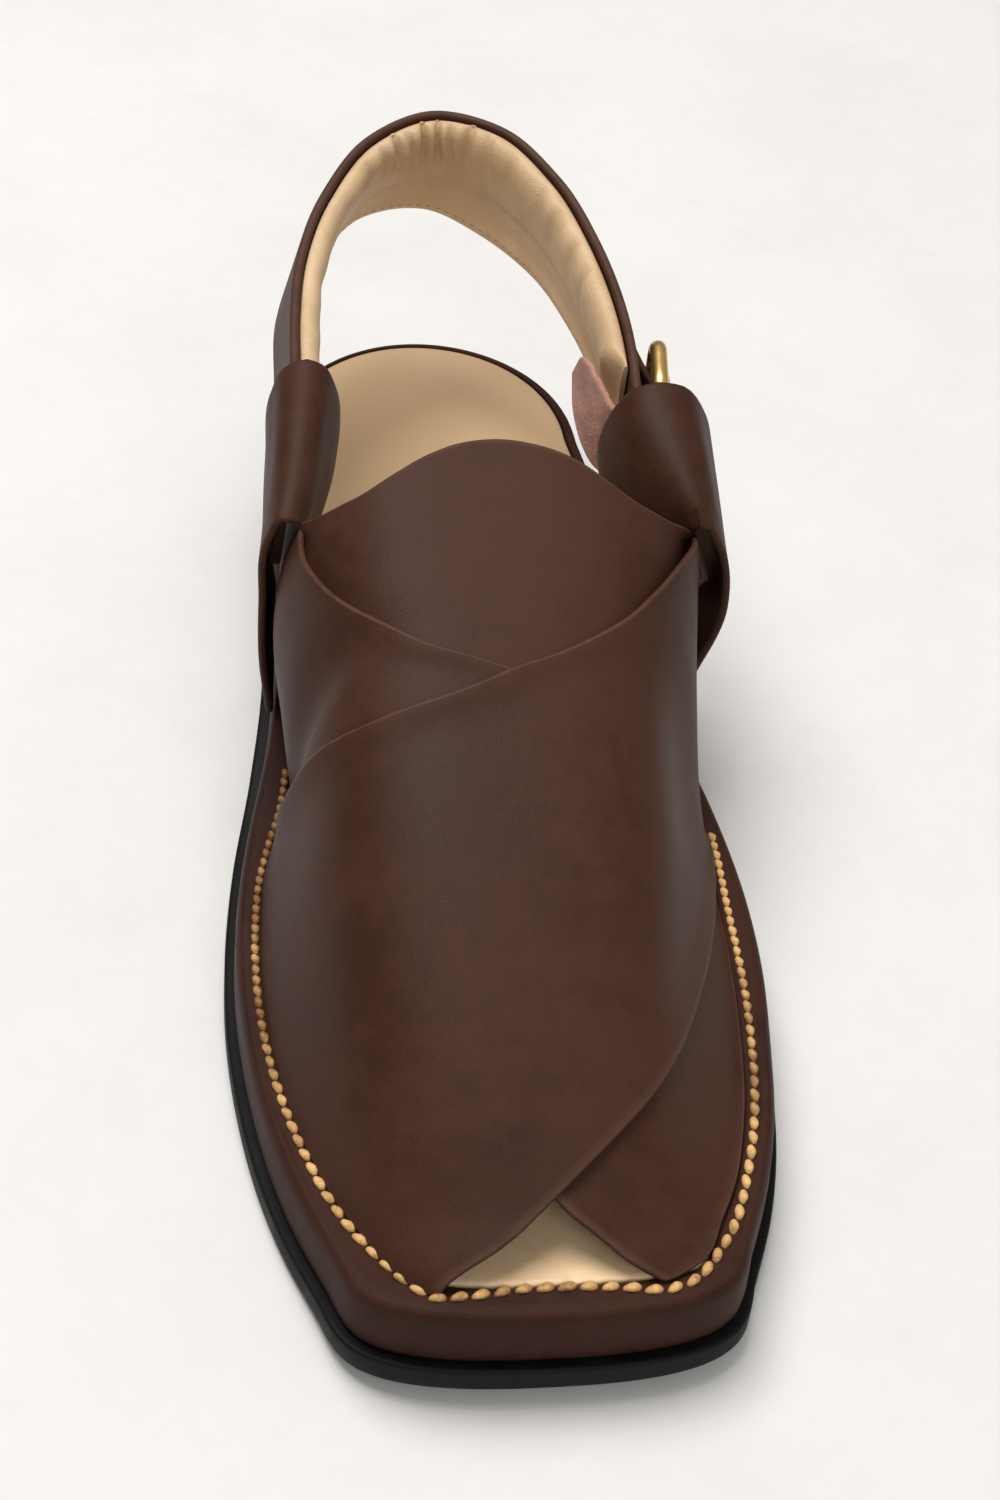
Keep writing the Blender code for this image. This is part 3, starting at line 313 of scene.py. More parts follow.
def spline(rows: Sequence[NamedTuple], column: str, at: float | Array) -> Array:
    """Smooth value of a table's column.

    Args:
        rows: the table, sorted by its first column.
        column: name of the column to read.
        at: one or more values of the first column.

    Returns:
        The column's values there.
    """
    xs = np.array([row[0] for row in rows], float)
    ys = np.array([getattr(row, column) for row in rows], float)
    slope = np.gradient(ys, xs)
    at = np.asarray(at, float)
    i = np.clip(np.searchsorted(xs, at) - 1, 0, len(xs) - 2)
    step = xs[i + 1] - xs[i]
    t = (at - xs[i]) / step
    rise = (2 * t**3 - 3 * t**2 + 1) * ys[i] + (3 * t**2 - 2 * t**3) * ys[i + 1]
    return rise + step * ((t**3 - 2 * t**2 + t) * slope[i] + (t**3 - t**2) * slope[i + 1])


def smooth_path(points: Sequence[Sequence[float]], shares: int | Array) -> Array:
    """Points along a smooth curve through the given ones.

    Args:
        points: the points that the curve passes.
        shares: shares of the curve's length, or a count of evenly spaced points.

    Returns:
        One row per point.
    """
    points = np.array(points, float)
    chord = np.linalg.norm(np.diff(points, axis=0), axis=1)
    at = np.concatenate(([0.0], np.cumsum(chord)))
    slope = np.gradient(points, at, axis=0)
    fine = np.linspace(0.0, at[-1], 40 * len(points))
    i = np.clip(np.searchsorted(at, fine) - 1, 0, len(at) - 2)
    step = (at[i + 1] - at[i])[:, None]
    t = (fine - at[i])[:, None] / step
    curve = (2 * t**3 - 3 * t**2 + 1) * points[i] + (3 * t**2 - 2 * t**3) * points[i + 1]
    curve += step * ((t**3 - 2 * t**2 + t) * slope[i] + (t**3 - t**2) * slope[i + 1])
    run = np.concatenate(([0.0], np.cumsum(np.linalg.norm(np.diff(curve, axis=0), axis=1))))
    at = np.linspace(0.0, 1.0, shares) if isinstance(shares, int) else np.asarray(shares)
    return np.stack([np.interp(at * run[-1], run, curve[:, k]) for k in range(curve.shape[1])], axis=1)


def smoothstep(t: float | Array) -> Array:
    """0 below 0, 1 above 1, an S-curve between."""
    t = np.clip(t, 0.0, 1.0)
    return t * t * (3.0 - 2.0 * t)


def hump(distance: float | Array, width: float) -> Array:
    """A bell of height 1 with the given half width."""
    return np.exp(-((np.asarray(distance) / width) ** 2))


def unit(vectors: Array) -> Array:
    """The vector, or each row of vectors, at length one."""
    return vectors / np.linalg.norm(vectors, axis=-1, keepdims=True)


def run_of(points: Array) -> Array:
    """Distance along a line of points, from its first one."""
    steps = np.linalg.norm(np.diff(points, axis=0), axis=1)
    return np.concatenate(([0.0], np.cumsum(steps)))


def rimmed_shares(count: int, length: float, rim: float = 0.5) -> Array:
    """Even shares from 0 to 1, with one more close to each end.

    Args:
        count: number of even steps.
        length: the whole length.
        rim: distance of the added shares from the ends.

    Returns:
        The shares, count + 3 of them.
    """
    even = np.linspace(0.0, 1.0, count + 1)
    near = min(rim / length, 0.4 / count)
    return np.concatenate(([0.0, near], even[1:-1], [1.0 - near, 1.0]))


# ---- meshes --------------------------------------------------------------------------------


def deselect_all() -> None:
    """Leaves nothing selected, in object mode."""
    if bpy.context.mode != "OBJECT":
        bpy.ops.object.mode_set(mode="OBJECT")
    bpy.ops.object.select_all(action="DESELECT")


def activate(thing: Piece) -> None:
    """Selects one object alone and makes it the active one."""
    deselect_all()
    thing.select_set(True)
    bpy.context.view_layer.objects.active = thing


def soften(thing: Piece, degrees: float) -> None:
    """Shades smooth, with edges sharper than an angle left crisp."""
    activate(thing)
    bpy.ops.object.shade_smooth_by_angle(angle=math.radians(degrees))
    deselect_all()


def settle(thing: Piece) -> Piece:
    """Moves an object's place into its mesh, so that it sits unturned at the origin."""
    activate(thing)
    bpy.ops.object.transform_apply(location=True, rotation=True, scale=True)
    deselect_all()
    return thing


def mesh_object(
    name: str,
    points: Array,
    faces: Sequence[Sequence[int]],
    edge: Optional[Array] = None,
    degrees: float = 50.0,
) -> Piece:
    """A closed body with its faces outwards.

    Args:
        name: the piece's name.
        points: its points, in millimetres.
        faces: corner numbers of each face.
        edge: how much of a cut or worn edge each point is, 0 to 1.
        degrees: edges sharper than this stay crisp.

    Returns:
        The new object.
    """
    mesh = bpy.data.meshes.new(name)
    mesh.from_pydata((np.asarray(points, float) * MM).tolist(), [], [tuple(f) for f in faces])
    rim = mesh.attributes.new("edge", "FLOAT", "POINT")
    rim.data.foreach_set("value", np.zeros(len(points)) if edge is None else np.asarray(edge, float))
    mesh.update()
    thing = bpy.data.objects.new(name, mesh)
    bpy.context.scene.collection.objects.link(thing)
    activate(thing)
    bpy.ops.object.mode_set(mode="EDIT")
    bpy.ops.mesh.select_all(action="SELECT")
    bpy.ops.mesh.normals_make_consistent(inside=False)
    bpy.ops.object.mode_set(mode="OBJECT")
    soften(thing, degrees)
    return thing


def belt_faces(rows: int, count: int) -> list[tuple[int, ...]]:
    """Faces between rings that follow one another, each ring with the same count of points."""
    faces = []
    for k in range(rows - 1):
        for i in range(count):
            j = (i + 1) % count
            faces.append((k * count + i, k * count + j, (k + 1) * count + j, (k + 1) * count + i))
    return faces


def ring_body(
    name: str,
    rings: Array,
    cap: Optional[list] = None,
    edge: Optional[Array] = None,
    degrees: float = 50.0,
) -> Piece:
    """A body through rings of equal count, closed at both ends.

    Args:
        name: the piece's name.
        rings: array of rings x points x 3, in millimetres.
        cap: faces that close one ring; a single face where none are given.
        edge: the edge share of each point, rings x points.
        degrees: edges sharper than this stay crisp.

    Returns:
        The new object.
    """
    rings = np.asarray(rings, float)
    rows, count = rings.shape[:2]
    faces = belt_faces(rows, count)
    cap = cap or [tuple(range(count))]
    last = (rows - 1) * count
    faces += [tuple(face) for face in cap] + [tuple(last + i for i in face) for face in cap]
    flat_edge = None if edge is None else np.asarray(edge).reshape(-1)
    return mesh_object(name, rings.reshape(-1, 3), faces, flat_edge, degrees)


class LeatherSheet:
    """A surface of four-sided cells that becomes one closed wall with rounded rims.

    Each point carries the height of the wall's outer and inner side over the surface.
    """

    RIM = ((0.12, 0.30), (0.5, 0.46), (0.88, 0.30))  # share of the wall, how far it stands out
    RIM_WEAR = 0.7  # wear just round the corner of a cut edge

    def __init__(self) -> None:
        """Starts with no cells."""
        self.points: list[Array] = []
        self.outer: list[float] = []
        self.inner: list[float] = []
        self.cells: list[tuple[int, ...]] = []
        self._keys: dict[tuple, int] = {}

    def point(self, spot: Array, outer: float, inner: float) -> int:
        """Number of a point, shared with an equal one.

        Args:
            spot: the point, in millimetres.
            outer: height of the outer side there.
            inner: height of the inner side there.

        Returns:
            Its number.
        """
        key = tuple(round(float(c), 3) for c in spot)
        if key not in self._keys:
            self._keys[key] = len(self.points)
            self.points.append(np.array(spot, float))
            self.outer.append(float(outer))
            self.inner.append(float(inner))
        return self._keys[key]

    def grid(
        self,
        spots: Array,
        outer: Array,
        inner: Array,
        is_open: Callable[[int, int], bool] = lambda row, column: False,
        turned: bool = False,
    ) -> None:
        """Adds a grid of cells.

        Args:
            spots: rows x columns x 3.
            outer: heights of the outer side, rows x columns.
            inner: heights of the inner side, rows x columns.
            is_open: says which cells are left out.
            turned: whether the surface's outer side is the other one.
        """
        rows, columns = spots.shape[:2]
        ids = [[self.point(spots[r, c], outer[r, c], inner[r, c]) for c in range(columns)]
               for r in range(rows)]
        for r in range(rows - 1):
            for c in range(columns - 1):
                if is_open(r, c):
                    continue
                cell = (ids[r][c], ids[r][c + 1], ids[r + 1][c + 1], ids[r + 1][c])
                cell = cell[::-1] if turned else cell
                slim = tuple(dict.fromkeys(cell))
                if len(slim) >= 3:
                    self.cells.append(slim)

    def normals(self) -> Array:
        """Unit normal of each point, the mean of its cells'."""
        spots = np.array(self.points)
        normals = np.zeros_like(spots)
        for cell in self.cells:
            a, b, c = spots[cell[0]], spots[cell[1]], spots[cell[2]]
            d = spots[cell[3]] if len(cell) == 4 else a
            normals[list(cell)] += np.cross(c - a, d - b)
        return unit(normals + 1e-12)

    def solid(self, name: str, floor: Optional[Callable[[Array], Array]] = None) -> Piece:
        """The closed wall.

        Args:
            name: the piece's name.
            floor: lowest height at each Y, which the wall doesn't go under.

        Returns:
            The new object.
        """
        normals = self.normals()
        spots = np.array(self.points)
        outer, inner = np.array(self.outer), np.array(self.inner)
        if floor is not None:
            low = floor(spots[:, 1])
            spots[:, 2] += np.maximum(0.0, low - (spots[:, 2] + inner * normals[:, 2]))
        over, under = spots + normals * outer[:, None], spots + normals * inner[:, None]
        if floor is not None:
            over[:, 2] = np.maximum(over[:, 2], low)
            under[:, 2] = np.maximum(under[:, 2], low)
        count = len(spots)
        faces = list(self.cells)
        faces += [tuple(count + i for i in reversed(cell)) for cell in self.cells]
        sides = dict.fromkeys(side for cell in self.cells for side in zip(cell, cell[1:] + cell[:1]))
        rims = [(a, b) for (a, b) in sides if (b, a) not in sides]
        outwards = np.zeros_like(spots)
        for a, b in rims:
            away = np.cross(spots[b] - spots[a], normals[a] + normals[b])
            outwards[[a, b]] += away
        edge_points = sorted({i for pair in rims for i in pair})
        place: dict[tuple[int, int], int] = {}
        extra: list[Array] = []
        for i in edge_points:
            away = outwards[i] / max(np.linalg.norm(outwards[i]), 1e-9)
            wall = outer[i] - inner[i]
            for level, (share, stand) in enumerate(self.RIM):
                place[i, level] = 2 * count + len(extra)
                spot = over[i] + share * (under[i] - over[i]) + stand * wall * away
                if floor is not None:
                    spot[2] = max(spot[2], low[i])
                extra.append(spot)
        levels = len(self.RIM)
        for a, b in rims:
            left = [a] + [place[a, k] for k in range(levels)] + [count + a]
            right = [b] + [place[b, k] for k in range(levels)] + [count + b]
            faces += [(left[k + 1], right[k + 1], right[k], left[k]) for k in range(levels + 1)]
        points = np.concatenate([over, under, np.array(extra)])
        edge = np.zeros(len(points))
        edge[edge_points] = 1.0
        edge[[place[i, 0] for i in edge_points]] = self.RIM_WEAR
        return mesh_object(name, points, faces, edge, 60.0)


# ---- finishes ------------------------------------------------------------------------------

Colour = tuple[float, float, float]
Socket = bpy.types.NodeSocket
Tree = bpy.types.NodeTree


def fill_inputs(tree: Tree, node: bpy.types.Node, inputs: dict) -> None:
    """Links or sets a node's inputs, given by name or number."""
    for name, value in inputs.items():
        if isinstance(value, Socket):
            tree.links.new(value, node.inputs[name])
        else:
            node.inputs[name].default_value = value


def add_node(tree: Tree, kind: str, inputs: Optional[dict] = None, **settings: object) -> bpy.types.Node:
    """Adds a shader node.

    Args:
        tree: the node tree.
        kind: the node's type, without its ShaderNode prefix.
        inputs: values or sockets for its inputs, by name or number.
        settings: the node's own settings.

    Returns:
        The new node.
    """
    node = tree.nodes.new(f"ShaderNode{kind}")
    for name, value in settings.items():
        setattr(node, name, value)
    fill_inputs(tree, node, inputs or {})
    return node


def math_node(tree: Tree, operation: str, *values: Socket | float) -> Socket:
    """Output of a math node over values or sockets."""
    node = add_node(tree, "Math", dict(enumerate(values)), operation=operation)
    return node.outputs[0]


def ranged(tree: Tree, value: Socket, source: tuple, target: tuple) -> Socket:
    """A value mapped smoothly from one range to another."""
    inputs = {0: value, 1: source[0], 2: source[1], 3: target[0], 4: target[1]}
    node = add_node(tree, "MapRange", inputs, interpolation_type="SMOOTHSTEP")
    return node.outputs[0]


def blended(tree: Tree, share: Socket, first: Socket | tuple, second: Socket | tuple) -> Socket:
    """Mix of two colours."""
    first, second = (one if isinstance(one, Socket) else (*one, 1.0) for one in (first, second))
    return add_node(tree, "Mix", {0: share, 6: first, 7: second}, data_type="RGBA").outputs[2]


class Effects:
    """Shader groups that several finishes share, each built once."""

    def __init__(self) -> None:
        """Builds the groups."""
        self.grain = self._grain()
        self.mottle = self._mottle()
        self.fibres = self._fibres()

    @staticmethod
    def _group(name: str, inputs: Sequence[tuple], outputs: Sequence[str]) -> tuple:
        """A group with its ends.

        Args:
            name: the group's name.
            inputs: name, socket type and value of each input.
            outputs: names of its value outputs.

        Returns:
            The tree, its input node and its output node.
        """
        tree = bpy.data.node_groups.new(name, "ShaderNodeTree")
        for label, kind, value in inputs:
            socket = tree.interface.new_socket(name=label, in_out="INPUT", socket_type=kind)
            if value is not None:
                socket.default_value = value
        for label in outputs:
            tree.interface.new_socket(name=label, in_out="OUTPUT", socket_type="NodeSocketFloat")
        return tree, tree.nodes.new("NodeGroupInput"), tree.nodes.new("NodeGroupOutput")

    def _grain(self) -> Tree:
        """Leather grain: small rounded cells, finer pores and long soft wrinkles."""
        sockets = (("Vector", "NodeSocketVector", None), ("Scale", "NodeSocketFloat", 900.0),
                   ("Wrinkles", "NodeSocketFloat", 0.3))
        tree, start, end = self._group("leather_grain", sockets, ("Height", "Crevice"))
        vector, scale = start.outputs["Vector"], start.outputs["Scale"]
        slow, fast = (math_node(tree, "MULTIPLY", scale, share) for share in (0.3, 2.6))
        warp = add_node(tree, "TexNoise", {"Vector": vector, "Scale": slow, "Detail": 2.0})
        push = add_node(tree, "VectorMath", {0: warp.outputs["Color"], "Scale": 0.0007}, operation="SCALE")
        moved = add_node(tree, "VectorMath", {0: vector, 1: push.outputs[0]}, operation="ADD")
        cells = add_node(tree, "TexVoronoi", {"Vector": moved.outputs[0], "Scale": scale},
                         feature="DISTANCE_TO_EDGE")
        pore = add_node(tree, "TexNoise", {"Vector": vector, "Scale": fast, "Detail": 3.0, "Roughness": 0.6})
        long = add_node(tree, "TexNoise", {"Vector": moved.outputs[0], "Detail": 3.0, "Distortion": 1.2,
                                           "Scale": math_node(tree, "MULTIPLY", scale, 0.11)})
        pebble = ranged(tree, cells.outputs["Distance"], (0.0, 0.28), (0.0, 1.0))
        rounded = math_node(tree, "MULTIPLY", pebble, 0.55)
        fine = math_node(tree, "MULTIPLY_ADD", pore.outputs[0], 0.45, rounded)
        wrinkle = math_node(tree, "MULTIPLY", long.outputs[0], start.outputs["Wrinkles"])
        height = math_node(tree, "ADD", fine, math_node(tree, "MULTIPLY", wrinkle, 3.0))
        tree.links.new(height, end.inputs["Height"])
        crevice = ranged(tree, cells.outputs["Distance"], (0.0, 0.14), (1.0, 0.0))
        tree.links.new(crevice, end.inputs["Crevice"])
        return tree

    def _mottle(self) -> Tree:
        """Slow variation of a dyed or worn surface, with finer blotches in it."""
        sockets = (("Vector", "NodeSocketVector", None), ("Scale", "NodeSocketFloat", 18.0),
                   ("Edge", "NodeSocketFloat", 0.0))
        tree, start, end = self._group("mottling", sockets, ("Tone", "Worn"))
        vector, scale = start.outputs["Vector"], start.outputs["Scale"]
        broad = add_node(tree, "TexNoise", {"Vector": vector, "Scale": scale, "Detail": 3.0})
        fine = math_node(tree, "MULTIPLY", scale, 9.0)
        dense = {"Vector": vector, "Scale": fine, "Detail": 4.0, "Roughness": 0.65}
        close = add_node(tree, "TexNoise", dense)
        most = math_node(tree, "MULTIPLY", broad.outputs[0], 0.65)
        mixed = math_node(tree, "MULTIPLY_ADD", close.outputs[0], 0.35, most)
        tree.links.new(ranged(tree, mixed, (0.36, 0.64), (0.0, 1.0)), end.inputs["Tone"])
        broken = ranged(tree, close.outputs[0], (0.30, 0.62), (0.55, 1.0))
        tree.links.new(math_node(tree, "MULTIPLY", start.outputs["Edge"], broken), end.inputs["Worn"])
        return tree

    def _fibres(self) -> Tree:
        """Short tangled fibres of suede, thread or cut leather."""
        sockets = (("Vector", "NodeSocketVector", None), ("Scale", "NodeSocketFloat", 1200.0))
        tree, start, end = self._group("fibres", sockets, ("Height", "Tone"))
        stretched = []
        for turn, stretch in (((0.3, 0.1, 0.5), (1.0, 0.16, 1.0)), ((0.9, 0.4, 2.1), (0.18, 1.0, 1.0))):
            laid = add_node(tree, "Mapping", {"Vector": start.outputs["Vector"], "Rotation": turn,
                                              "Scale": stretch})
            noise = add_node(tree, "TexNoise", {"Vector": laid.outputs[0], "Scale": start.outputs["Scale"],
                                                "Detail": 4.0, "Roughness": 0.7})
            stretched.append(noise.outputs[0])
        height = math_node(tree, "MAXIMUM", *stretched)
        tree.links.new(height, end.inputs["Height"])
        tree.links.new(ranged(tree, height, (0.42, 0.72), (0.0, 1.0)), end.inputs["Tone"])
        return tree


class Pattern(Enum):
    """What a finish's surface is made of, close up."""

    GRAIN = "grain"
    FIBRES = "fibres"
    BRUSHED = "brushed"
    PEBBLED = "pebbled"


@dataclass(frozen=True)
class Finish:
    """One material of the shoe, with the sizes of its detail."""

    name: str
    slot: str
    pattern: Pattern
    light: Colour
    dark: Colour
    cut: Colour  # colour of a cut or worn edge
    roughness: tuple[float, float]
    scale: float  # cells or fibres per metre
    depth: float  # of the relief, in metres
    strength: float = 0.5
    wrinkles: float = 0.25
    metallic: float = 0.0
    sheen: float = 0.0
    specular: float = 0.5
    painted_heel_shade: Optional[Colour] = None  # painted shade: darker colour towards the heel, where the tongue, ears and strap shade the insole

    def make(self, effects: Effects) -> bpy.types.Material:
        """Builds the material.

        Args:
            effects: the shared shader groups.

        Returns:
            The material.
        """
        material = bpy.data.materials.new(self.name)
        material.use_nodes = True
        tree = material.node_tree
        shader = tree.nodes["Principled BSDF"]
        shader.inputs["Metallic"].default_value = self.metallic
        shader.inputs["Sheen Weight"].default_value = self.sheen
        shader.inputs["Specular IOR Level"].default_value = self.specular
        vector = add_node(tree, "TexCoord").outputs["Object"]
        edge = add_node(tree, "Attribute", attribute_name="edge", attribute_type="GEOMETRY").outputs["Fac"]
        mottle = self._placed(tree, effects.mottle, {"Vector": vector, "Edge": edge})
        height, mark = self._relief(tree, effects, vector)
        tone = math_node(tree, "MULTIPLY_ADD", mark, -0.35, mottle.outputs["Tone"])
        toned = blended(tree, ranged(tree, tone, (-0.3, 1.0), (0.0, 1.0)), self.dark, self.light)
        # painted shade: the colour darkens towards the heel, standing in for the shade of the tongue, ears
        # and strap
        if self.painted_heel_shade is not None:
            place = add_node(tree, "SeparateXYZ", {0: vector})
            back = ranged(tree, place.outputs["Y"], HEEL_SHADE_SPAN, (0.0, 1.0))
            toned = blended(tree, back, toned, self.painted_heel_shade)
        coloured = blended(tree, mottle.outputs["Worn"], toned, self.cut)
        tree.links.new(coloured, shader.inputs["Base Color"])
        rough = ranged(tree, mottle.outputs["Tone"], (0.0, 1.0), self.roughness)
        tree.links.new(rough, shader.inputs["Roughness"])
        bump = add_node(tree, "Bump", {"Strength": self.strength, "Distance": self.depth, "Height": height})
        tree.links.new(bump.outputs[0], shader.inputs["Normal"])
        material.diffuse_color = (*self.light, 1.0)
        return material

    @staticmethod
    def _placed(tree: Tree, group: Tree, inputs: dict) -> bpy.types.Node:
        """A shared group placed in a material."""
        return add_node(tree, "Group", inputs, node_tree=group)

    def _relief(self, tree: Tree, effects: Effects, vector: Socket) -> tuple[Socket, Socket]:
        """Height and dark marks of the finish's pattern.

        Args:
            tree: the material's nodes.
            effects: the shared shader groups.
            vector: Object coordinates.

        Returns:
            The height and the mask of its marks.
        """
        if self.pattern is Pattern.GRAIN:
            inputs = {"Vector": vector, "Scale": self.scale, "Wrinkles": self.wrinkles}
            node = self._placed(tree, effects.grain, inputs)
            return node.outputs["Height"], node.outputs["Crevice"]
        if self.pattern is Pattern.FIBRES:
            node = self._placed(tree, effects.fibres, {"Vector": vector, "Scale": self.scale})
            return node.outputs["Height"], node.outputs["Tone"]
        if self.pattern is Pattern.BRUSHED:
            laid = add_node(tree, "Mapping", {"Vector": vector, "Scale": (1.0, 1.0, 0.08)})
            scratched = {"Vector": laid.outputs[0], "Scale": self.scale, "Detail": 4.0}
            lines = add_node(tree, "TexNoise", scratched)
            return lines.outputs[0], ranged(tree, lines.outputs[0], (0.55, 0.75), (0.0, 1.0))
        cells = add_node(tree, "TexVoronoi", {"Vector": vector, "Scale": self.scale})
        dust = add_node(tree, "TexNoise", {"Vector": vector, "Scale": self.scale * 0.2, "Detail": 5.0})
        pebbles = math_node(tree, "MULTIPLY", cells.outputs[0], 0.6)
        height = math_node(tree, "SUBTRACT", dust.outputs[0], pebbles)
        return height, ranged(tree, dust.outputs[0], (0.5, 0.7), (0.0, 1.0))


HEEL_SHADE_SPAN = (-0.21, -0.10)  # Y in metres: from the lit toe end to where the painted shade under the tongue, ears and strap is full
UPPER_LEATHER = Finish(
    "brown_upper_leather", "brown_leather", Pattern.GRAIN, (0.064, 0.0250, 0.0142), (0.042, 0.0155, 0.0090),
    (0.095, 0.046, 0.031), (0.48, 0.56), 1700.0, 0.00010, 0.40, 0.15, specular=0.14)
WELT_LEATHER = Finish(
    "brown_welt_leather", "brown_leather", Pattern.GRAIN, (0.050, 0.0190, 0.0115), (0.030, 0.0110, 0.0070),
    (0.075, 0.034, 0.022), (0.50, 0.60), 1300.0, 0.00012, 0.45, 0.35, specular=0.10)
LINING_LEATHER = Finish(
    "beige_lining_leather", "beige_leather", Pattern.GRAIN, (0.70, 0.50, 0.305), (0.56, 0.37, 0.20),
    (0.42, 0.26, 0.14), (0.48, 0.60), 1300.0, 0.00014, 0.45, 0.35)
# the insole's darker heel colour is painted shade from the tongue, ears and strap above it
INSOLE_LEATHER = Finish(
    "beige_insole_leather", "beige_leather", Pattern.GRAIN, (0.92, 0.67, 0.41), (0.80, 0.55, 0.32),
    (0.36, 0.20, 0.11), (0.42, 0.54), 1500.0, 0.00009, 0.35, 0.2, painted_heel_shade=(0.54, 0.365, 0.205))
TAB_SUEDE = Finish(
    "red_suede_nap", "red_suede", Pattern.FIBRES, (0.60, 0.275, 0.185), (0.28, 0.100, 0.066),
    (0.50, 0.25, 0.18), (0.88, 0.98), 1100.0, 0.0006, 1.0, sheen=0.35, specular=0.2)
CUT_LEATHER = Finish(
    "raw_leather_back", "red_suede", Pattern.FIBRES, (0.20, 0.085, 0.060), (0.11, 0.040, 0.028),
    (0.24, 0.12, 0.09), (0.80, 0.95), 1700.0, 0.0003, 0.7, sheen=0.2, specular=0.25)
BRASS = Finish(
    "aged_brass", "brass", Pattern.BRUSHED, (1.0, 0.72, 0.30), (0.86, 0.56, 0.20),
    (0.9, 0.7, 0.35), (0.32, 0.44), 900.0, 0.00006, 0.25, metallic=1.0)
RUBBER = Finish(
    "black_sole_rubber", "black_rubber", Pattern.PEBBLED, (0.0055, 0.0055, 0.006), (0.0025, 0.0025, 0.003),
    (0.02, 0.02, 0.02), (0.50, 0.66), 1400.0, 0.00012, 0.5, specular=0.16)
GOLD_THREAD = Finish(
    "gold_waxed_thread", "beige_leather", Pattern.FIBRES, (0.92, 0.55, 0.21), (0.22, 0.085, 0.022),
    (0.5, 0.3, 0.1), (0.28, 0.42), 1800.0, 0.00035, 1.0)
LINING_THREAD = Finish(
    "tan_lining_thread", "beige_leather", Pattern.FIBRES, (0.50, 0.33, 0.18), (0.30, 0.18, 0.09),
    (0.4, 0.25, 0.12), (0.50, 0.62), 2600.0, 0.00015, 0.6)
FLOOR_PAPER = Finish(
    "studio_floor", "floor", Pattern.PEBBLED, (0.80, 0.79, 0.775), (0.77, 0.76, 0.745),
    (0.8, 0.8, 0.8), (0.55, 0.65), 220.0, 0.0001, 0.1, specular=0.2)


class Wardrobe:
    """Makes each finish once and dresses pieces in them."""

    def __init__(self) -> None:
        """Builds the shared effects."""
        self.effects = Effects()
        self.made: dict[str, bpy.types.Material] = {}

    def material(self, finish: Finish) -> bpy.types.Material:
        """The finish's material, made on its first use."""
        if finish.name not in self.made:
            self.made[finish.name] = finish.make(self.effects)
        return self.made[finish.name]

    def dress(self, piece: Piece, finish: Finish, *nodes: str) -> Piece:
        """Gives a piece its finish and its place in the frame.

        Args:
            piece: the finished piece.
            finish: what it is made of.
            nodes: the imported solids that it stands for.

        Returns:
            The piece.
        """
        piece.data.materials.clear()
        piece.data.materials.append(self.material(finish))
        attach(piece, "root")
        if nodes:
            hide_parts(*nodes)
        LOG.info("%s: %d faces, %s", piece.name, len(piece.data.polygons), finish.name)
        return piece


# ---- forms ---------------------------------------------------------------------------------


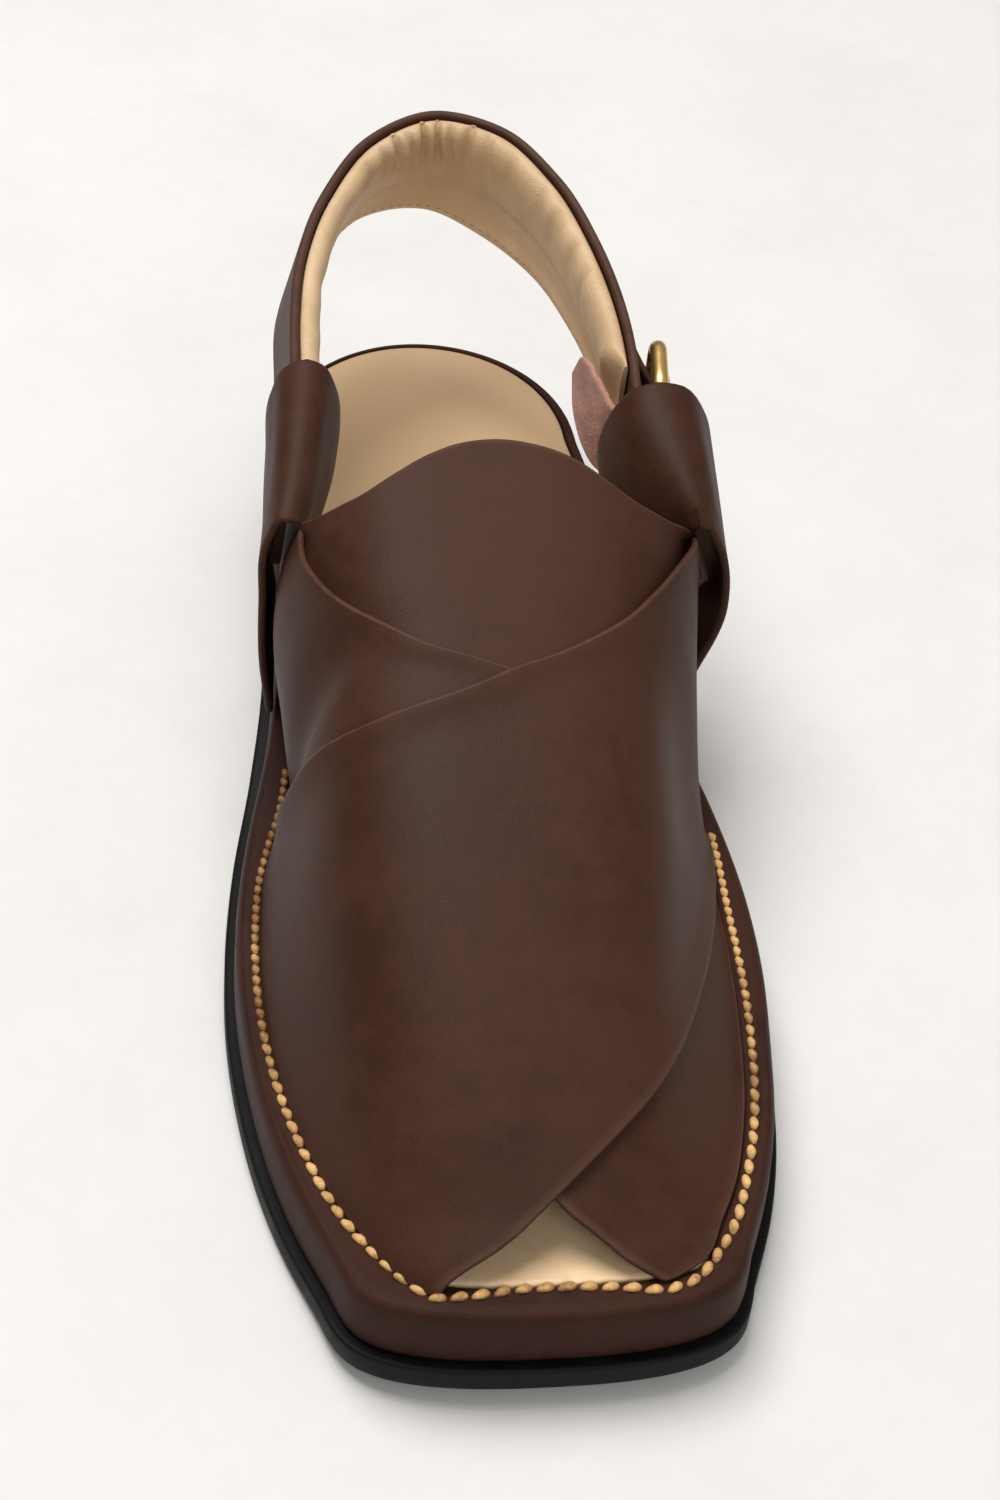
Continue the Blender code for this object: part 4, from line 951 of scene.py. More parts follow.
@dataclass(frozen=True)
class SoleForm:
    """Outline and levels of the sole, which every other piece is set on."""

    length: float = 295.7
    ball_width: float = 112.0
    heel_back: float = 41.5
    heel_centre_x: float = -1.1
    heel_height: float = 10.0
    outsole: float = 6.0
    toe_spring: float = 4.0
    breast_y: float = -32.0  # front face of the heel block
    waist_end_y: float = -118.0  # where the waist comes down to the floor
    spring_start_y: float = -200.0
    feather: float = 0.1  # the upper's seam, out from the lip's inner edge
    short_edge: float = 3.2  # how far the medial seam draws back where the insole shows beside it
    toe_feather: float = 7.4  # the same seam at the toe's front, in from the outsole's edge
    toe_from: float = 0.983  # station where the seam leaves the lip's edge for the toe's front
    toe_over: float = 0.013
    bare_at: float = 0.558  # where the medial seam draws back most
    bare_width: float = 0.024
    lip_blend: float = 18.0  # across the toe and the heel, from the medial to the lateral width
    toe_taper: float = 0.30  # the sides keep drawing in towards the toe's front
    toe_square: tuple[float, float] = (4.0, 2.5)  # powers of the toe's corner
    half_count: int = 220  # points of one side of the outline

    def along_of(self, y: float | Array) -> float | Array:
        """Station of a Y."""
        return (self.heel_back - y) / self.length

    def y_of(self, along: float | Array) -> float | Array:
        """Y of a station."""
        return self.heel_back - along * self.length

    def outline(self) -> Array:
        """Closed outline of the outsole: heel's back, lateral side, toe tip, medial side."""
        first, last = SIDES[0], SIDES[-1]
        sides = []
        for column, sign in (("lateral", 1.0), ("medial", -1.0)):
            reach = sign * getattr(first, column) * self.ball_width - self.heel_centre_x
            turns = np.linspace(math.pi / 2, 0.0, 30)[:-1]
            x, y = self.heel_centre_x + reach * np.cos(turns), self.heel_back * np.sin(turns)
            arc = np.stack([x, y], axis=1)
            stations = np.linspace(first.along, last.along, 90)
            x = sign * self.ball_width * spline(SIDES, column, stations)
            side = np.stack([x, self.y_of(stations)], axis=1)
            share = np.sin(np.linspace(0.0, math.pi / 2, 60))[1:]
            corner_y = self.y_of(last.along)
            y = corner_y + share * (self.y_of(1.0) - corner_y)
            keep = np.maximum(1 - share ** self.toe_square[0], 0.0) ** (1 / self.toe_square[1])
            width = getattr(last, column) * self.ball_width - self.toe_taper * (corner_y - y)
            toe = np.stack([sign * width * keep, y], axis=1)
            whole = np.concatenate([arc, side, toe])
            run = run_of(whole)
            at = np.linspace(0.0, run[-1], self.half_count + 1)
            sides.append(np.stack([np.interp(at, run, whole[:, k]) for k in (0, 1)], axis=1))
        lateral, medial = sides
        return np.concatenate([lateral, medial[::-1][1:-1]])

    @staticmethod
    def moved_in(points: Array, inset: float | Array) -> Array:
        """The outline moved inwards, square to itself."""
        along = unit(np.roll(points, -1, 0) - np.roll(points, 1, 0))
        inset = np.broadcast_to(np.asarray(inset, float), len(points))[:, None]
        return points + inset * np.stack([along[:, 1], -along[:, 0]], axis=1)

    def lip_edge(self, points: Array) -> Array:
        """Inset of the lip's inner edge at points of the outline."""
        along = self.along_of(points[:, 1])
        lateral = smoothstep((points[:, 0] + self.lip_blend / 2) / self.lip_blend)
        medial = spline(LIP_EDGES, "medial", along)
        return medial + lateral * (spline(LIP_EDGES, "lateral", along) - medial)

    def lip(self, y: float | Array) -> Array:
        """Top edge of the wrapped platform."""
        return spline(LEVELS, "lip", self.along_of(np.asarray(y, float)))

    def underside(self, y: float | Array) -> Array:
        """Underside of the outsole: on the heel, over the waist, on the floor, up at the toe."""
        y = np.asarray(y, float)
        rear = self.breast_y - 2.0
        waist = self.heel_height * (1 - smoothstep((rear - y) / (rear - self.waist_end_y)))
        reach = np.clip((self.spring_start_y - y) / (self.spring_start_y - self.y_of(1.0)), 0.0, 1.0)
        return waist + self.toe_spring * reach**2

    def topside(self, y: float | Array) -> Array:
        """Top of the outsole."""
        return self.underside(y) + self.outsole

    def ring(self, inset: float | Array, height: Callable[[Array], Array]) -> Array:
        """The outline moved in, at the heights that height(y) gives."""
        flat = self.moved_in(self.outline(), inset)
        return np.column_stack([flat, height(flat[:, 1])])

    @staticmethod
    def ladder(count: int) -> list[tuple[int, ...]]:
        """Faces that close a ring whose two sides run in step."""
        half = count // 2
        rungs = [(i, i + 1, count - i - 1, count - i) for i in range(1, half - 1)]
        return [(0, 1, count - 1)] + rungs + [(half - 1, half, half + 1)]


class Last:
    """The form that the upper lies on, tabled once and read by every sheet of leather."""

    INSTEP_RISE = 69.5
    STATIONS = np.linspace(0.402, 0.986, 293)
    TURNS = 181

    def __init__(self, sole: SoleForm) -> None:
        """Tables the sections.

        Args:
            sole: the sole that the upper is sewn to.
        """
        self.sole = sole
        edge = sole.outline()
        inset = sole.lip_edge(edge) - sole.feather
        along = sole.along_of(edge[:, 1])
        ahead = smoothstep((along - sole.toe_from) / sole.toe_over)
        short = sole.short_edge * hump(along - sole.bare_at, sole.bare_width) * (edge[:, 0] < 0)
        seam = sole.moved_in(edge, inset + short + ahead * (sole.toe_feather - inset))
        half = len(seam) // 2
        self._lateral, self._medial = seam[1:half][::-1], seam[half + 1:]
        rows = [self._section(float(along)) for along in self.STATIONS]
        self._spots = np.array([row[0] for row in rows])
        self._girths = np.array([row[1] for row in rows])

    def _section(self, along: float) -> tuple[Array, float]:
        """One cross-section.

        Args:
            along: the station.

        Returns:
            Its (x, z) at even shares of its girth, and the girth.
        """
        y = float(self.sole.y_of(along))
        turn = np.linspace(math.pi, 0.0, 241)
        cos, sin = np.cos(turn), np.sin(turn)
        power = 2.0 / float(spline(SECTIONS, "square", along))
        crown_x = float(spline(SECTIONS, "crown_x", along))
        medial = crown_x - np.interp(y, self._medial[:, 1], self._medial[:, 0])
        lateral = np.interp(y, self._lateral[:, 1], self._lateral[:, 0]) - crown_x
        height = np.abs(sin) ** power
        outwards = np.where(cos > 0, lateral, medial) * np.sign(cos) * np.abs(cos) ** power
        high = float(spline(SECTIONS, "lateral_high", along))
        lateral_lean = float(spline(SECTIONS, "lateral_lean", along)) * np.sin(math.pi * height**high)
        medial_lean = float(spline(SECTIONS, "medial_lean", along)) * np.sin(math.pi * height)
        lean = np.where(cos > 0, lateral_lean, -medial_lean)
        x = crown_x + outwards + lean * np.minimum(1.0, 3.0 * np.abs(cos))
        rise = self.INSTEP_RISE * float(spline(SECTIONS, "rise", along))
        z = float(self.sole.lip(y)) + GAP + rise * height
        run = run_of(np.column_stack([x, z]))
        at = np.linspace(0.0, run[-1], self.TURNS)
        return np.column_stack([np.interp(at, run, x), np.interp(at, run, z)]), float(run[-1])

    def girth(self, along: Array) -> Array:
        """Girth of the vamp at stations."""
        return np.interp(along, self.STATIONS, self._girths)

    def spots(self, along: Array, around: Array) -> Array:
        """Points of the form.

        Args:
            along: stations, of any shape.
            around: turns round the form, of the same shape.

        Returns:
            The points, with one more axis of x, y, z.
        """
        row = (np.asarray(along) - self.STATIONS[0]) / (self.STATIONS[1] - self.STATIONS[0])
        column = np.clip(around, 0.0, 1.0) * (self.TURNS - 1)
        r = np.clip(row.astype(int), 0, len(self.STATIONS) - 2)
        c = np.clip(column.astype(int), 0, self.TURNS - 2)
        s, t = (row - r)[..., None], (column - c)[..., None]
        near = (1 - t) * self._spots[r, c] + t * self._spots[r, c + 1]
        far = (1 - t) * self._spots[r + 1, c] + t * self._spots[r + 1, c + 1]
        xz = (1 - s) * near + s * far
        return np.stack([xz[..., 0], self.sole.y_of(np.asarray(along)), xz[..., 1]], axis=-1)

    def flat(self, places: Sequence[Place]) -> Array:
        """Places as points of the vamp's flat pattern."""
        along, around = np.array(places, float).T
        return np.stack([(around - 0.5) * self.girth(along), -along * self.sole.length], axis=1)

    def from_flat(self, flat: Array) -> Array:
        """Points of the form at points of the flat pattern."""
        along = -flat[..., 1] / self.sole.length
        around = flat[..., 0] / self.girth(along) + 0.5
        return self.spots(along, around)

    def edge(self, places: Sequence[Place], shares: Array) -> Array:
        """Flat points at shares of a smooth edge through places."""
        return smooth_path(self.flat(places), shares)

    def seam(self, start: float, end: float, around: float, shares: Array) -> Array:
        """Flat points along the sole's seam from one station to another."""
        stations = start + np.asarray(shares) * (end - start)
        return self.flat([Place(a, around) for a in stations])


def coons(bottom: Array, top: Array, left: Array, right: Array) -> Array:
    """A grid stretched between four edges.

    Args:
        bottom: the first row, from left to right.
        top: the last row.
        left: the first column, from bottom to top.
        right: the last column.

    Returns:
        rows x columns x 2.
    """
    u = (run_of(bottom) / run_of(bottom)[-1] + run_of(top) / run_of(top)[-1]) / 2
    v = run_of(left) / run_of(left)[-1]
    u, v = u[None, :, None], v[:, None, None]
    across = (1 - v) * bottom[None] + v * top[None]
    along = (1 - u) * left[:, None] + u * right[:, None]
    corners = (1 - v) * ((1 - u) * bottom[0] + u * bottom[-1]) + v * ((1 - u) * top[0] + u * top[-1])
    return across + along - corners


# ---- the upper -----------------------------------------------------------------------------


class Flank(Enum):
    """Side of the shoe; the value is its turn round the vamp."""

    MEDIAL = 0.0
    LATERAL = 1.0


@dataclass
class Upper:
    """Tongue and the two crossed bands, each band folded over into an ear at its rear end."""

    last: Last
    cell: float = 2.0  # size of the sheets' cells
    band_reach: float = 210.0  # a band's length, about
    tongue_size: tuple[float, float] = (150.0, 45.0)  # along its edge, and down to its hidden edge
    tongue_faces: tuple[float, float] = (-2.1, -3.5)  # outer and inner height over the form
    under_faces: tuple[float, float] = (-0.2, -1.6)
    top_faces: tuple[float, float] = (1.1, -0.2)
    ear_faces: tuple[float, float] = (-0.6, -2.2)
    edge_lift: float = 0.9  # a band stands off a little along its free edges
    lift_width: float = 5.0
    held_width: float = 14.0  # beside its seams it lies flat
    corner_rise: float = 2.2  # the tongue's corners come up between the ears' roots
    corner_width: float = 9.0
    root_count: int = 24
    rim_count: int = 5
    ear_reach: float = 38.0  # an ear's length, about
    ear_settle: float = 7.0  # over this length the band's wall becomes the ear's
    ear_length: int = 22
    ear_outer: int = 34

    def floor(self, y: Array) -> Array:
        """Height that the upper's foot stands on."""
        return self.last.sole.lip(y) + GAP

    def root(self, corner: Place, flank: Flank) -> Array:
        """Flat points of an ear's root, from the tongue's corner down to the sole."""
        foot = Place(corner.along + ROOT_STEP, flank.value)
        length = abs(foot.around - corner.around) * float(self.last.girth(corner.along))
        shares = np.append(rimmed_shares(self.root_count, length)[:-2], 1.0)
        drop = foot.around - corner.around
        places = [Place(corner.along + s * ROOT_STEP, corner.around + s * drop) for s in shares]
        return self.last.flat(places)

    def band(
        self,
        sheet: LeatherSheet,
        upper: Sequence[Place],
        lower: Sequence[Place],
        flank: Flank,
        faces: tuple[float, float],
    ) -> Array:
        """Adds one band to its sheet.

        Args:
            sheet: the sheet to add to.
            upper: the band's upper edge, from its ear's corner to the other side's seam.
            lower: its lower edge, from the seam under its ear to the other side's seam.
            flank: the side of its ear.
            faces: heights of its outer and inner side.

        Returns:
            The points of the ear's root, from the corner down.
        """
        last = self.last
        corner, seam_start = upper[0], lower[0].along
        root = self.root(corner, flank)
        foot = corner.along + ROOT_STEP
        seam_length = (seam_start - foot) * last.sole.length
        seam_shares = rimmed_shares(max(4, round(seam_length / self.cell)), seam_length)[2:]
        seam = last.seam(foot, seam_start, flank.value, np.insert(seam_shares, 0, 0.0))
        left = np.concatenate([root, seam[1:]])
        columns = rimmed_shares(round(self.band_reach / self.cell), self.band_reach)
        bottom, top = last.edge(upper, columns), last.edge(lower, columns)
        rows = run_of(left) / run_of(left)[-1]
        right = last.seam(upper[-1].along, lower[-1].along, 1.0 - flank.value, rows)
        spots = last.from_flat(coons(bottom, top, left, right))
        down = np.cumsum(np.linalg.norm(np.diff(spots, axis=0, prepend=spots[:1]), axis=2), axis=0)
        ahead = np.cumsum(np.linalg.norm(np.diff(spots, axis=1, prepend=spots[:, :1]), axis=2), axis=1)
        free = hump(down, self.lift_width) + hump(down[-1] - down, self.lift_width)
        held = smoothstep(np.minimum(ahead, ahead[:, -1:] - ahead) / self.held_width)
        lift = self.edge_lift * free * held
        sheet.grid(spots, faces[0] + lift, faces[1] + lift, turned=flank is Flank.MEDIAL)
        return spots[:len(root), 0]

    def _ear_inner(self, rim: EarRim, shares: Array) -> Array:
        """The ear's inner leg at one station, from the sole to the ridge."""
        foot_z = float(self.last.sole.lip(rim.y_foot)) + GAP
        top, y_mid = rim.ridge_z, 0.5 * (rim.y_foot + rim.y_top)
        turn_x = 0.55 * rim.in_top + 0.45 * rim.ridge_x
        inner = [
            (rim.in_foot, rim.y_foot, foot_z),
            (rim.in_mid, y_mid, foot_z + 0.45 * (top - foot_z)),
            (rim.in_top, rim.y_top, top - 11.0),
            (rim.in_top + 0.6 * (turn_x - rim.in_top), rim.y_top, top - 4.6),
            (turn_x + 0.3 * (rim.ridge_x - turn_x), rim.y_top, top - 1.0),
            (rim.ridge_x, rim.y_top, top),
        ]
        return smooth_path(inner, shares)

    def _ear_outer(self, rim: EarRim, ridge: Array, crest: Sequence[tuple]) -> Array:
        """The ear's outer leg at one station, from the ridge down to the sole."""
        foot_z = float(self.last.sole.lip(rim.y_foot)) + GAP
        top, y_mid = rim.ridge_z, 0.5 * (rim.y_foot + rim.y_top)
        outer = [
            tuple(ridge),
            *crest,
            (rim.out_top, rim.y_top, top - 7.0),
            (rim.out_mid, y_mid, foot_z + 0.62 * (top - foot_z)),
            (rim.out_low, 0.8 * rim.y_foot + 0.2 * rim.y_top, foot_z + 0.28 * (top - foot_z)),
            (rim.out_foot, rim.y_foot, foot_z),
        ]
        even = np.linspace(0.0, 1.0, self.ear_outer)
        return smooth_path(outer, even * (0.72 + 0.28 * even))

    def ear(
        self,
        sheet: LeatherSheet,
        rims: Sequence[EarRim],
        root: Array,
        flank: Flank,
        faces: tuple[float, float],
    ) -> None:
        """Adds one ear, which carries on from its band's rear end.

        Args:
            sheet: the band's sheet.
            rims: the ear's loops at its front, middle and rear.
            root: the band's rear edge, from the corner down.
            flank: the side it is on.
            faces: heights of the band's sides.
        """
        corner = root[0]
        ridge = np.array((rims[0].ridge_x, 0.5 * (corner[1] + rims[0].y_top), rims[0].ridge_z))
        rim_up = corner + (ridge - corner) * (0.2, 0.4, 0.6)
        rim = smooth_path([corner, rim_up, ridge], self.rim_count)
        inner = np.concatenate([root[::-1], rim[1:]])
        shares = run_of(inner) / run_of(inner)[-1]
        loops = [np.concatenate([inner, self._ear_outer(rims[0], ridge, ())[1:]])]
        for one in rims[1:]:
            leg = self._ear_inner(one, shares)
            over = (0.5 * (one.ridge_x + one.out_top), one.y_top, one.ridge_z - 1.0)
            loops.append(np.concatenate([leg, self._ear_outer(one, leg[-1], (over,))[1:]]))
        t = rimmed_shares(self.ear_length, self.ear_reach)[:, None, None]
        grid = (1 - t) * (1 - 2 * t) * loops[0] + 4 * t * (1 - t) * loops[1] + t * (2 * t - 1) * loops[2]
        away = np.arange(grid.shape[1]) - (len(root) - 1)
        behind = smoothstep(t[:, :, 0] * self.ear_reach / self.ear_settle)
        past = smoothstep(np.clip(away, 0, None) / 5.0)[None]
        blend = np.maximum(behind, past)
        outer = faces[0] + blend * (self.ear_faces[0] - faces[0])
        low = faces[1] + blend * (self.ear_faces[1] - faces[1])
        sheet.grid(grid, outer, low, turned=flank is Flank.LATERAL)

    def build(self, wardrobe: Wardrobe) -> None:
        """Makes the three sheets of the upper."""
        tongue = LeatherSheet()
        width, depth = self.tongue_size
        columns, rows = rimmed_shares(80, width), rimmed_shares(26, depth)
        edge, hidden = self.last.edge(TONGUE_EDGE, columns), self.last.edge(TONGUE_HIDDEN, columns)
        flat = edge[None] + rows[:, None, None] * (hidden - edge)[None]
        spots = self.last.from_flat(flat)
        run = run_of(edge)
        beside = hump(np.minimum(run, run[-1] - run), self.corner_width)[None]
        rise = self.corner_rise * (beside * hump(rows * depth, self.corner_width)[:, None])
        tongue.grid(spots, self.tongue_faces[0] + rise, self.tongue_faces[1] + rise, turned=True)
        wardrobe.dress(tongue.solid("tongue", self.floor), UPPER_LEATHER, "upper")

        under = LeatherSheet()
        root = self.band(under, UNDER_BAND_UPPER, UNDER_BAND_LOWER, Flank.MEDIAL, self.under_faces)
        self.ear(under, EAR_MEDIAL, root, Flank.MEDIAL, self.under_faces)
        wardrobe.dress(under.solid("under_band", self.floor), UPPER_LEATHER, "upper")

        top = LeatherSheet()
        root = self.band(top, TOP_BAND_UPPER, TOP_BAND_LOWER, Flank.LATERAL, self.top_faces)
        self.ear(top, EAR_LATERAL, root, Flank.LATERAL, self.top_faces)
        wardrobe.dress(top.solid("top_band", self.floor), UPPER_LEATHER, "upper")


# ---- the sole ------------------------------------------------------------------------------


@dataclass
class Platform:
    """The leather-wrapped platform between outsole and insole, and the insole on it."""

    sole: SoleForm
    # share of the way up the wall, rise over that, inset from the outsole's edge
    wall: tuple[tuple[float, float, float], ...] = (
        (0.0, GAP, 3.4), (0.0, 0.5, 2.5), (0.0, 1.6, 2.1), (0.30, 0.0, 1.9), (0.60, 0.0, 1.95),
        (1.0, -4.6, 2.05), (1.0, -3.0, 2.15), (1.0, -1.9, 2.35), (1.0, -1.0, 2.75), (1.0, -0.4, 3.2),
        (1.0, -0.1, 3.6), (1.0, 0.0, 4.1), (1.0, 0.0, 4.6), (1.0, 0.0, 5.1), (1.0, 0.0, 5.8),
        (1.0, -0.05, 6.9), (1.0, -0.25, 7.7), (1.0, -0.9, 8.1), (1.0, -2.3, 8.1),
    )
    shoulder: float = 2.75  # from here inwards the wall's insets follow the lip's width
    waist_ledge: float = 1.7  # how much further the medial wall stands in at the waist
    waist_at: float = 0.49
    waist_width: float = 0.10
    # the insole's rounded edge: inset from the lip's inner edge, rise over the lip
    insole_edge: tuple[tuple[float, float], ...] = (
        (0.0, -2.0), (0.0, -0.7), (0.15, -0.35), (0.5, -0.12), (1.1, -0.02),
    )
    seat_depth: float = 1.1
    seat_width: float = 26.0  # over which the seat sinks in from the insole's edge
    lip_width: float = 8.1
    rows_across: int = 28

    def _pleats(self, y: Array, side: Array) -> Array:
        """Small gathers of the wrap where it turns round the toe's corners."""
        along = self.sole.along_of(y)
        corner = hump(along - 0.965, 0.035)
        return 0.10 * corner * np.sin(side * 2.4)

    def _fold(self, y: Array, inset: Array) -> Array:
        """Depth of the long soft folds that the wrap makes along the toe half of the lip."""
        along = self.sole.along_of(y)
        ahead = smoothstep((along - 0.66) / 0.16) * (0.75 + 0.25 * np.sin(along * 70.0))
        wander = 0.35 * np.sin(along * 24.0)
        return ahead * (0.42 * hump(inset - 4.55 - wander, 0.45) + 0.16 * hump(inset - 6.2 + wander, 0.5))

    def build_wrap(self, wardrobe: Wardrobe) -> None:
        """The wrapped wall and lip."""
        edge = self.sole.outline()
        run = run_of(np.concatenate([edge, edge[:1]]))[:-1]
        rings = []
        shoulder, width = self.shoulder, self.sole.lip_edge(edge)
        waist = hump(self.sole.along_of(edge[:, 1]) - self.waist_at, self.waist_width)
        ledge = self.waist_ledge * waist * (edge[:, 0] < 0)
        for share, rise, inset in self.wall:
            over = (inset - shoulder) / (self.lip_width - shoulder) * (width - shoulder)
            at = shoulder + over if inset > shoulder else np.full(len(edge), inset)
            at = at + ledge * np.clip((width - at) / (width - 2.0), 0.0, 1.0)
            flat = self.sole.moved_in(edge, at + self._pleats(edge[:, 1], run) * smoothstep(inset - 2.0))
            low, high = self.sole.topside(flat[:, 1]), self.sole.lip(flat[:, 1])
            fold = self._fold(flat[:, 1], at)
            rings.append(np.column_stack([flat, low + share * (high - low) + rise - fold]))
        piece = ring_body("platform_wrap", rings, self.sole.ladder(len(edge)), degrees=60.0)
        wardrobe.dress(piece, WELT_LEATHER, "wrapped_platform")

    def build_insole(self, wardrobe: Wardrobe) -> None:
        """The insole: a rounded edge and a top with a shallow seat for the foot."""
        outline = self.sole.outline()
        count, half = len(outline), len(outline) // 2
        inset = self.sole.lip_edge(outline) + GAP
        rings = []
        for further, rise in self.insole_edge:
            rings.append(self.sole.ring(inset + further, lambda y, rise=rise: self.sole.lip(y) + rise))
        points = [np.concatenate(rings)]
        faces = [tuple(reversed(face)) for face in self.sole.ladder(count)]
        faces += belt_faces(len(rings), count)
        top, start = (len(rings) - 1) * count, len(rings) * count
        edge = rings[-1]
        shares = np.linspace(0.0, 1.0, self.rows_across + 1)[1:-1]
        inner = []
        for i in range(1, half):
            left, right = edge[i], edge[count - i]
            row = left + shares[:, None] * (right - left)
            seat = self._seat(row, np.linalg.norm(right - left), shares)
            row[:, 2] = self.sole.lip(row[:, 1]) + self.insole_edge[-1][1] - seat
            inner.append(row)
        points.append(np.concatenate(inner))

        def number(i: int, j: int) -> int:
            """Number of the point at rung i, place j across."""
            if j == 0:
                return top + i
            if j == self.rows_across:
                return top + (count - i) % count
            return start + (i - 1) * (self.rows_across - 1) + j - 1

        for i in range(1, half - 1):
            for j in range(self.rows_across):
                faces.append((number(i, j), number(i, j + 1), number(i + 1, j + 1), number(i + 1, j)))
        faces.append((top, *[number(1, j) for j in range(self.rows_across + 1)]))
        faces.append((top + half, *[number(half - 1, j) for j in range(self.rows_across, -1, -1)]))
        piece = mesh_object("insole_cover", np.concatenate(points), faces, degrees=60.0)
        wardrobe.dress(piece, INSOLE_LEATHER, "insole")

    def _seat(self, row: Array, width: float, shares: Array) -> Array:
        """Depth of the foot's seat across one rung."""
        across = np.minimum(shares, 1 - shares) * width
        ends = smoothstep((row[:, 1] - self.sole.y_of(1.0) - 8.0) / 40.0)
        return self.seat_depth * smoothstep(across / self.seat_width) * ends

    def build(self, wardrobe: Wardrobe) -> None:
        """Makes the wrap and the insole."""
        self.build_wrap(wardrobe)
        self.build_insole(wardrobe)


@dataclass
class Outsole:
    """Black rubber outsole, and the heel block under it."""

    sole: SoleForm
    # inset, share of the thickness, rise over that
    edge: tuple[tuple[float, float, float], ...] = (
        (1.6, 0.0, 0.0), (0.7, 0.0, 0.12), (0.25, 0.0, 0.5), (0.0, 0.0, 1.1), (0.0, 0.45, 0.0),
        (0.0, 1.0, -0.9), (0.12, 1.0, -0.4), (0.4, 1.0, -0.1), (1.0, 1.0, 0.0),
    )
    # the heel's wall with its two scored lines: inset, height over the floor
    heel_wall: tuple[tuple[float, float], ...] = (
        (1.9, 0.0), (1.1, 0.25), (0.7, 0.9), (0.6, 2.6), (0.85, 2.85), (0.6, 3.1), (0.45, 6.0),
        (0.7, 6.25), (0.45, 6.5),
    )
    breast_gap: float = 0.5  # the heel's front stands behind the breast line
    breast_bow: float = 2.0

    def build_outsole(self, wardrobe: Wardrobe) -> None:
        """The outsole: a slab with a rounded rubber edge, shaped to the floor and the heel."""
        edge = self.sole.outline()
        rings = []
        for inset, share, rise in self.edge:
            flat = self.sole.moved_in(edge, inset)
            height = self.sole.underside(flat[:, 1]) + share * self.sole.outsole + rise
            rings.append(np.column_stack([flat, height]))
        piece = ring_body("rubber_outsole", rings, self.sole.ladder(len(edge)), degrees=55.0)
        wardrobe.dress(piece, RUBBER, "outsole")

    def build_heel(self, wardrobe: Wardrobe) -> None:
        """The heel block: stacked lifts with a bevelled top piece."""
        edge = self.sole.outline()
        front = self.sole.breast_y + self.breast_gap
        heel = edge[edge[:, 1] > front]
        split = int(np.argmax(heel[:, 0] < self.sole.heel_centre_x - 0.5))
        lateral, medial = heel[:split], heel[split:]
        share = np.linspace(0.0, 1.0, 26)[1:-1, None]
        breast = lateral[-1] + share * (medial[0] - lateral[-1])
        breast[:, 1] = front + self.breast_bow * np.sin(math.pi * share[:, 0])
        block = np.concatenate([lateral, breast, medial])
        rise = self.sole.heel_height - GAP
        rings = []
        for inset, z in (*self.heel_wall, (0.3, rise - 0.5), (0.6, rise)):
            rings.append(np.column_stack([SoleForm.moved_in(block, inset), np.full(len(block), z)]))
        piece = ring_body("heel_lifts", rings, degrees=50.0)
        wardrobe.dress(piece, RUBBER, "heel_block")

    def build(self, wardrobe: Wardrobe) -> None:
        """Makes the outsole and the heel."""
        self.build_outsole(wardrobe)
        self.build_heel(wardrobe)


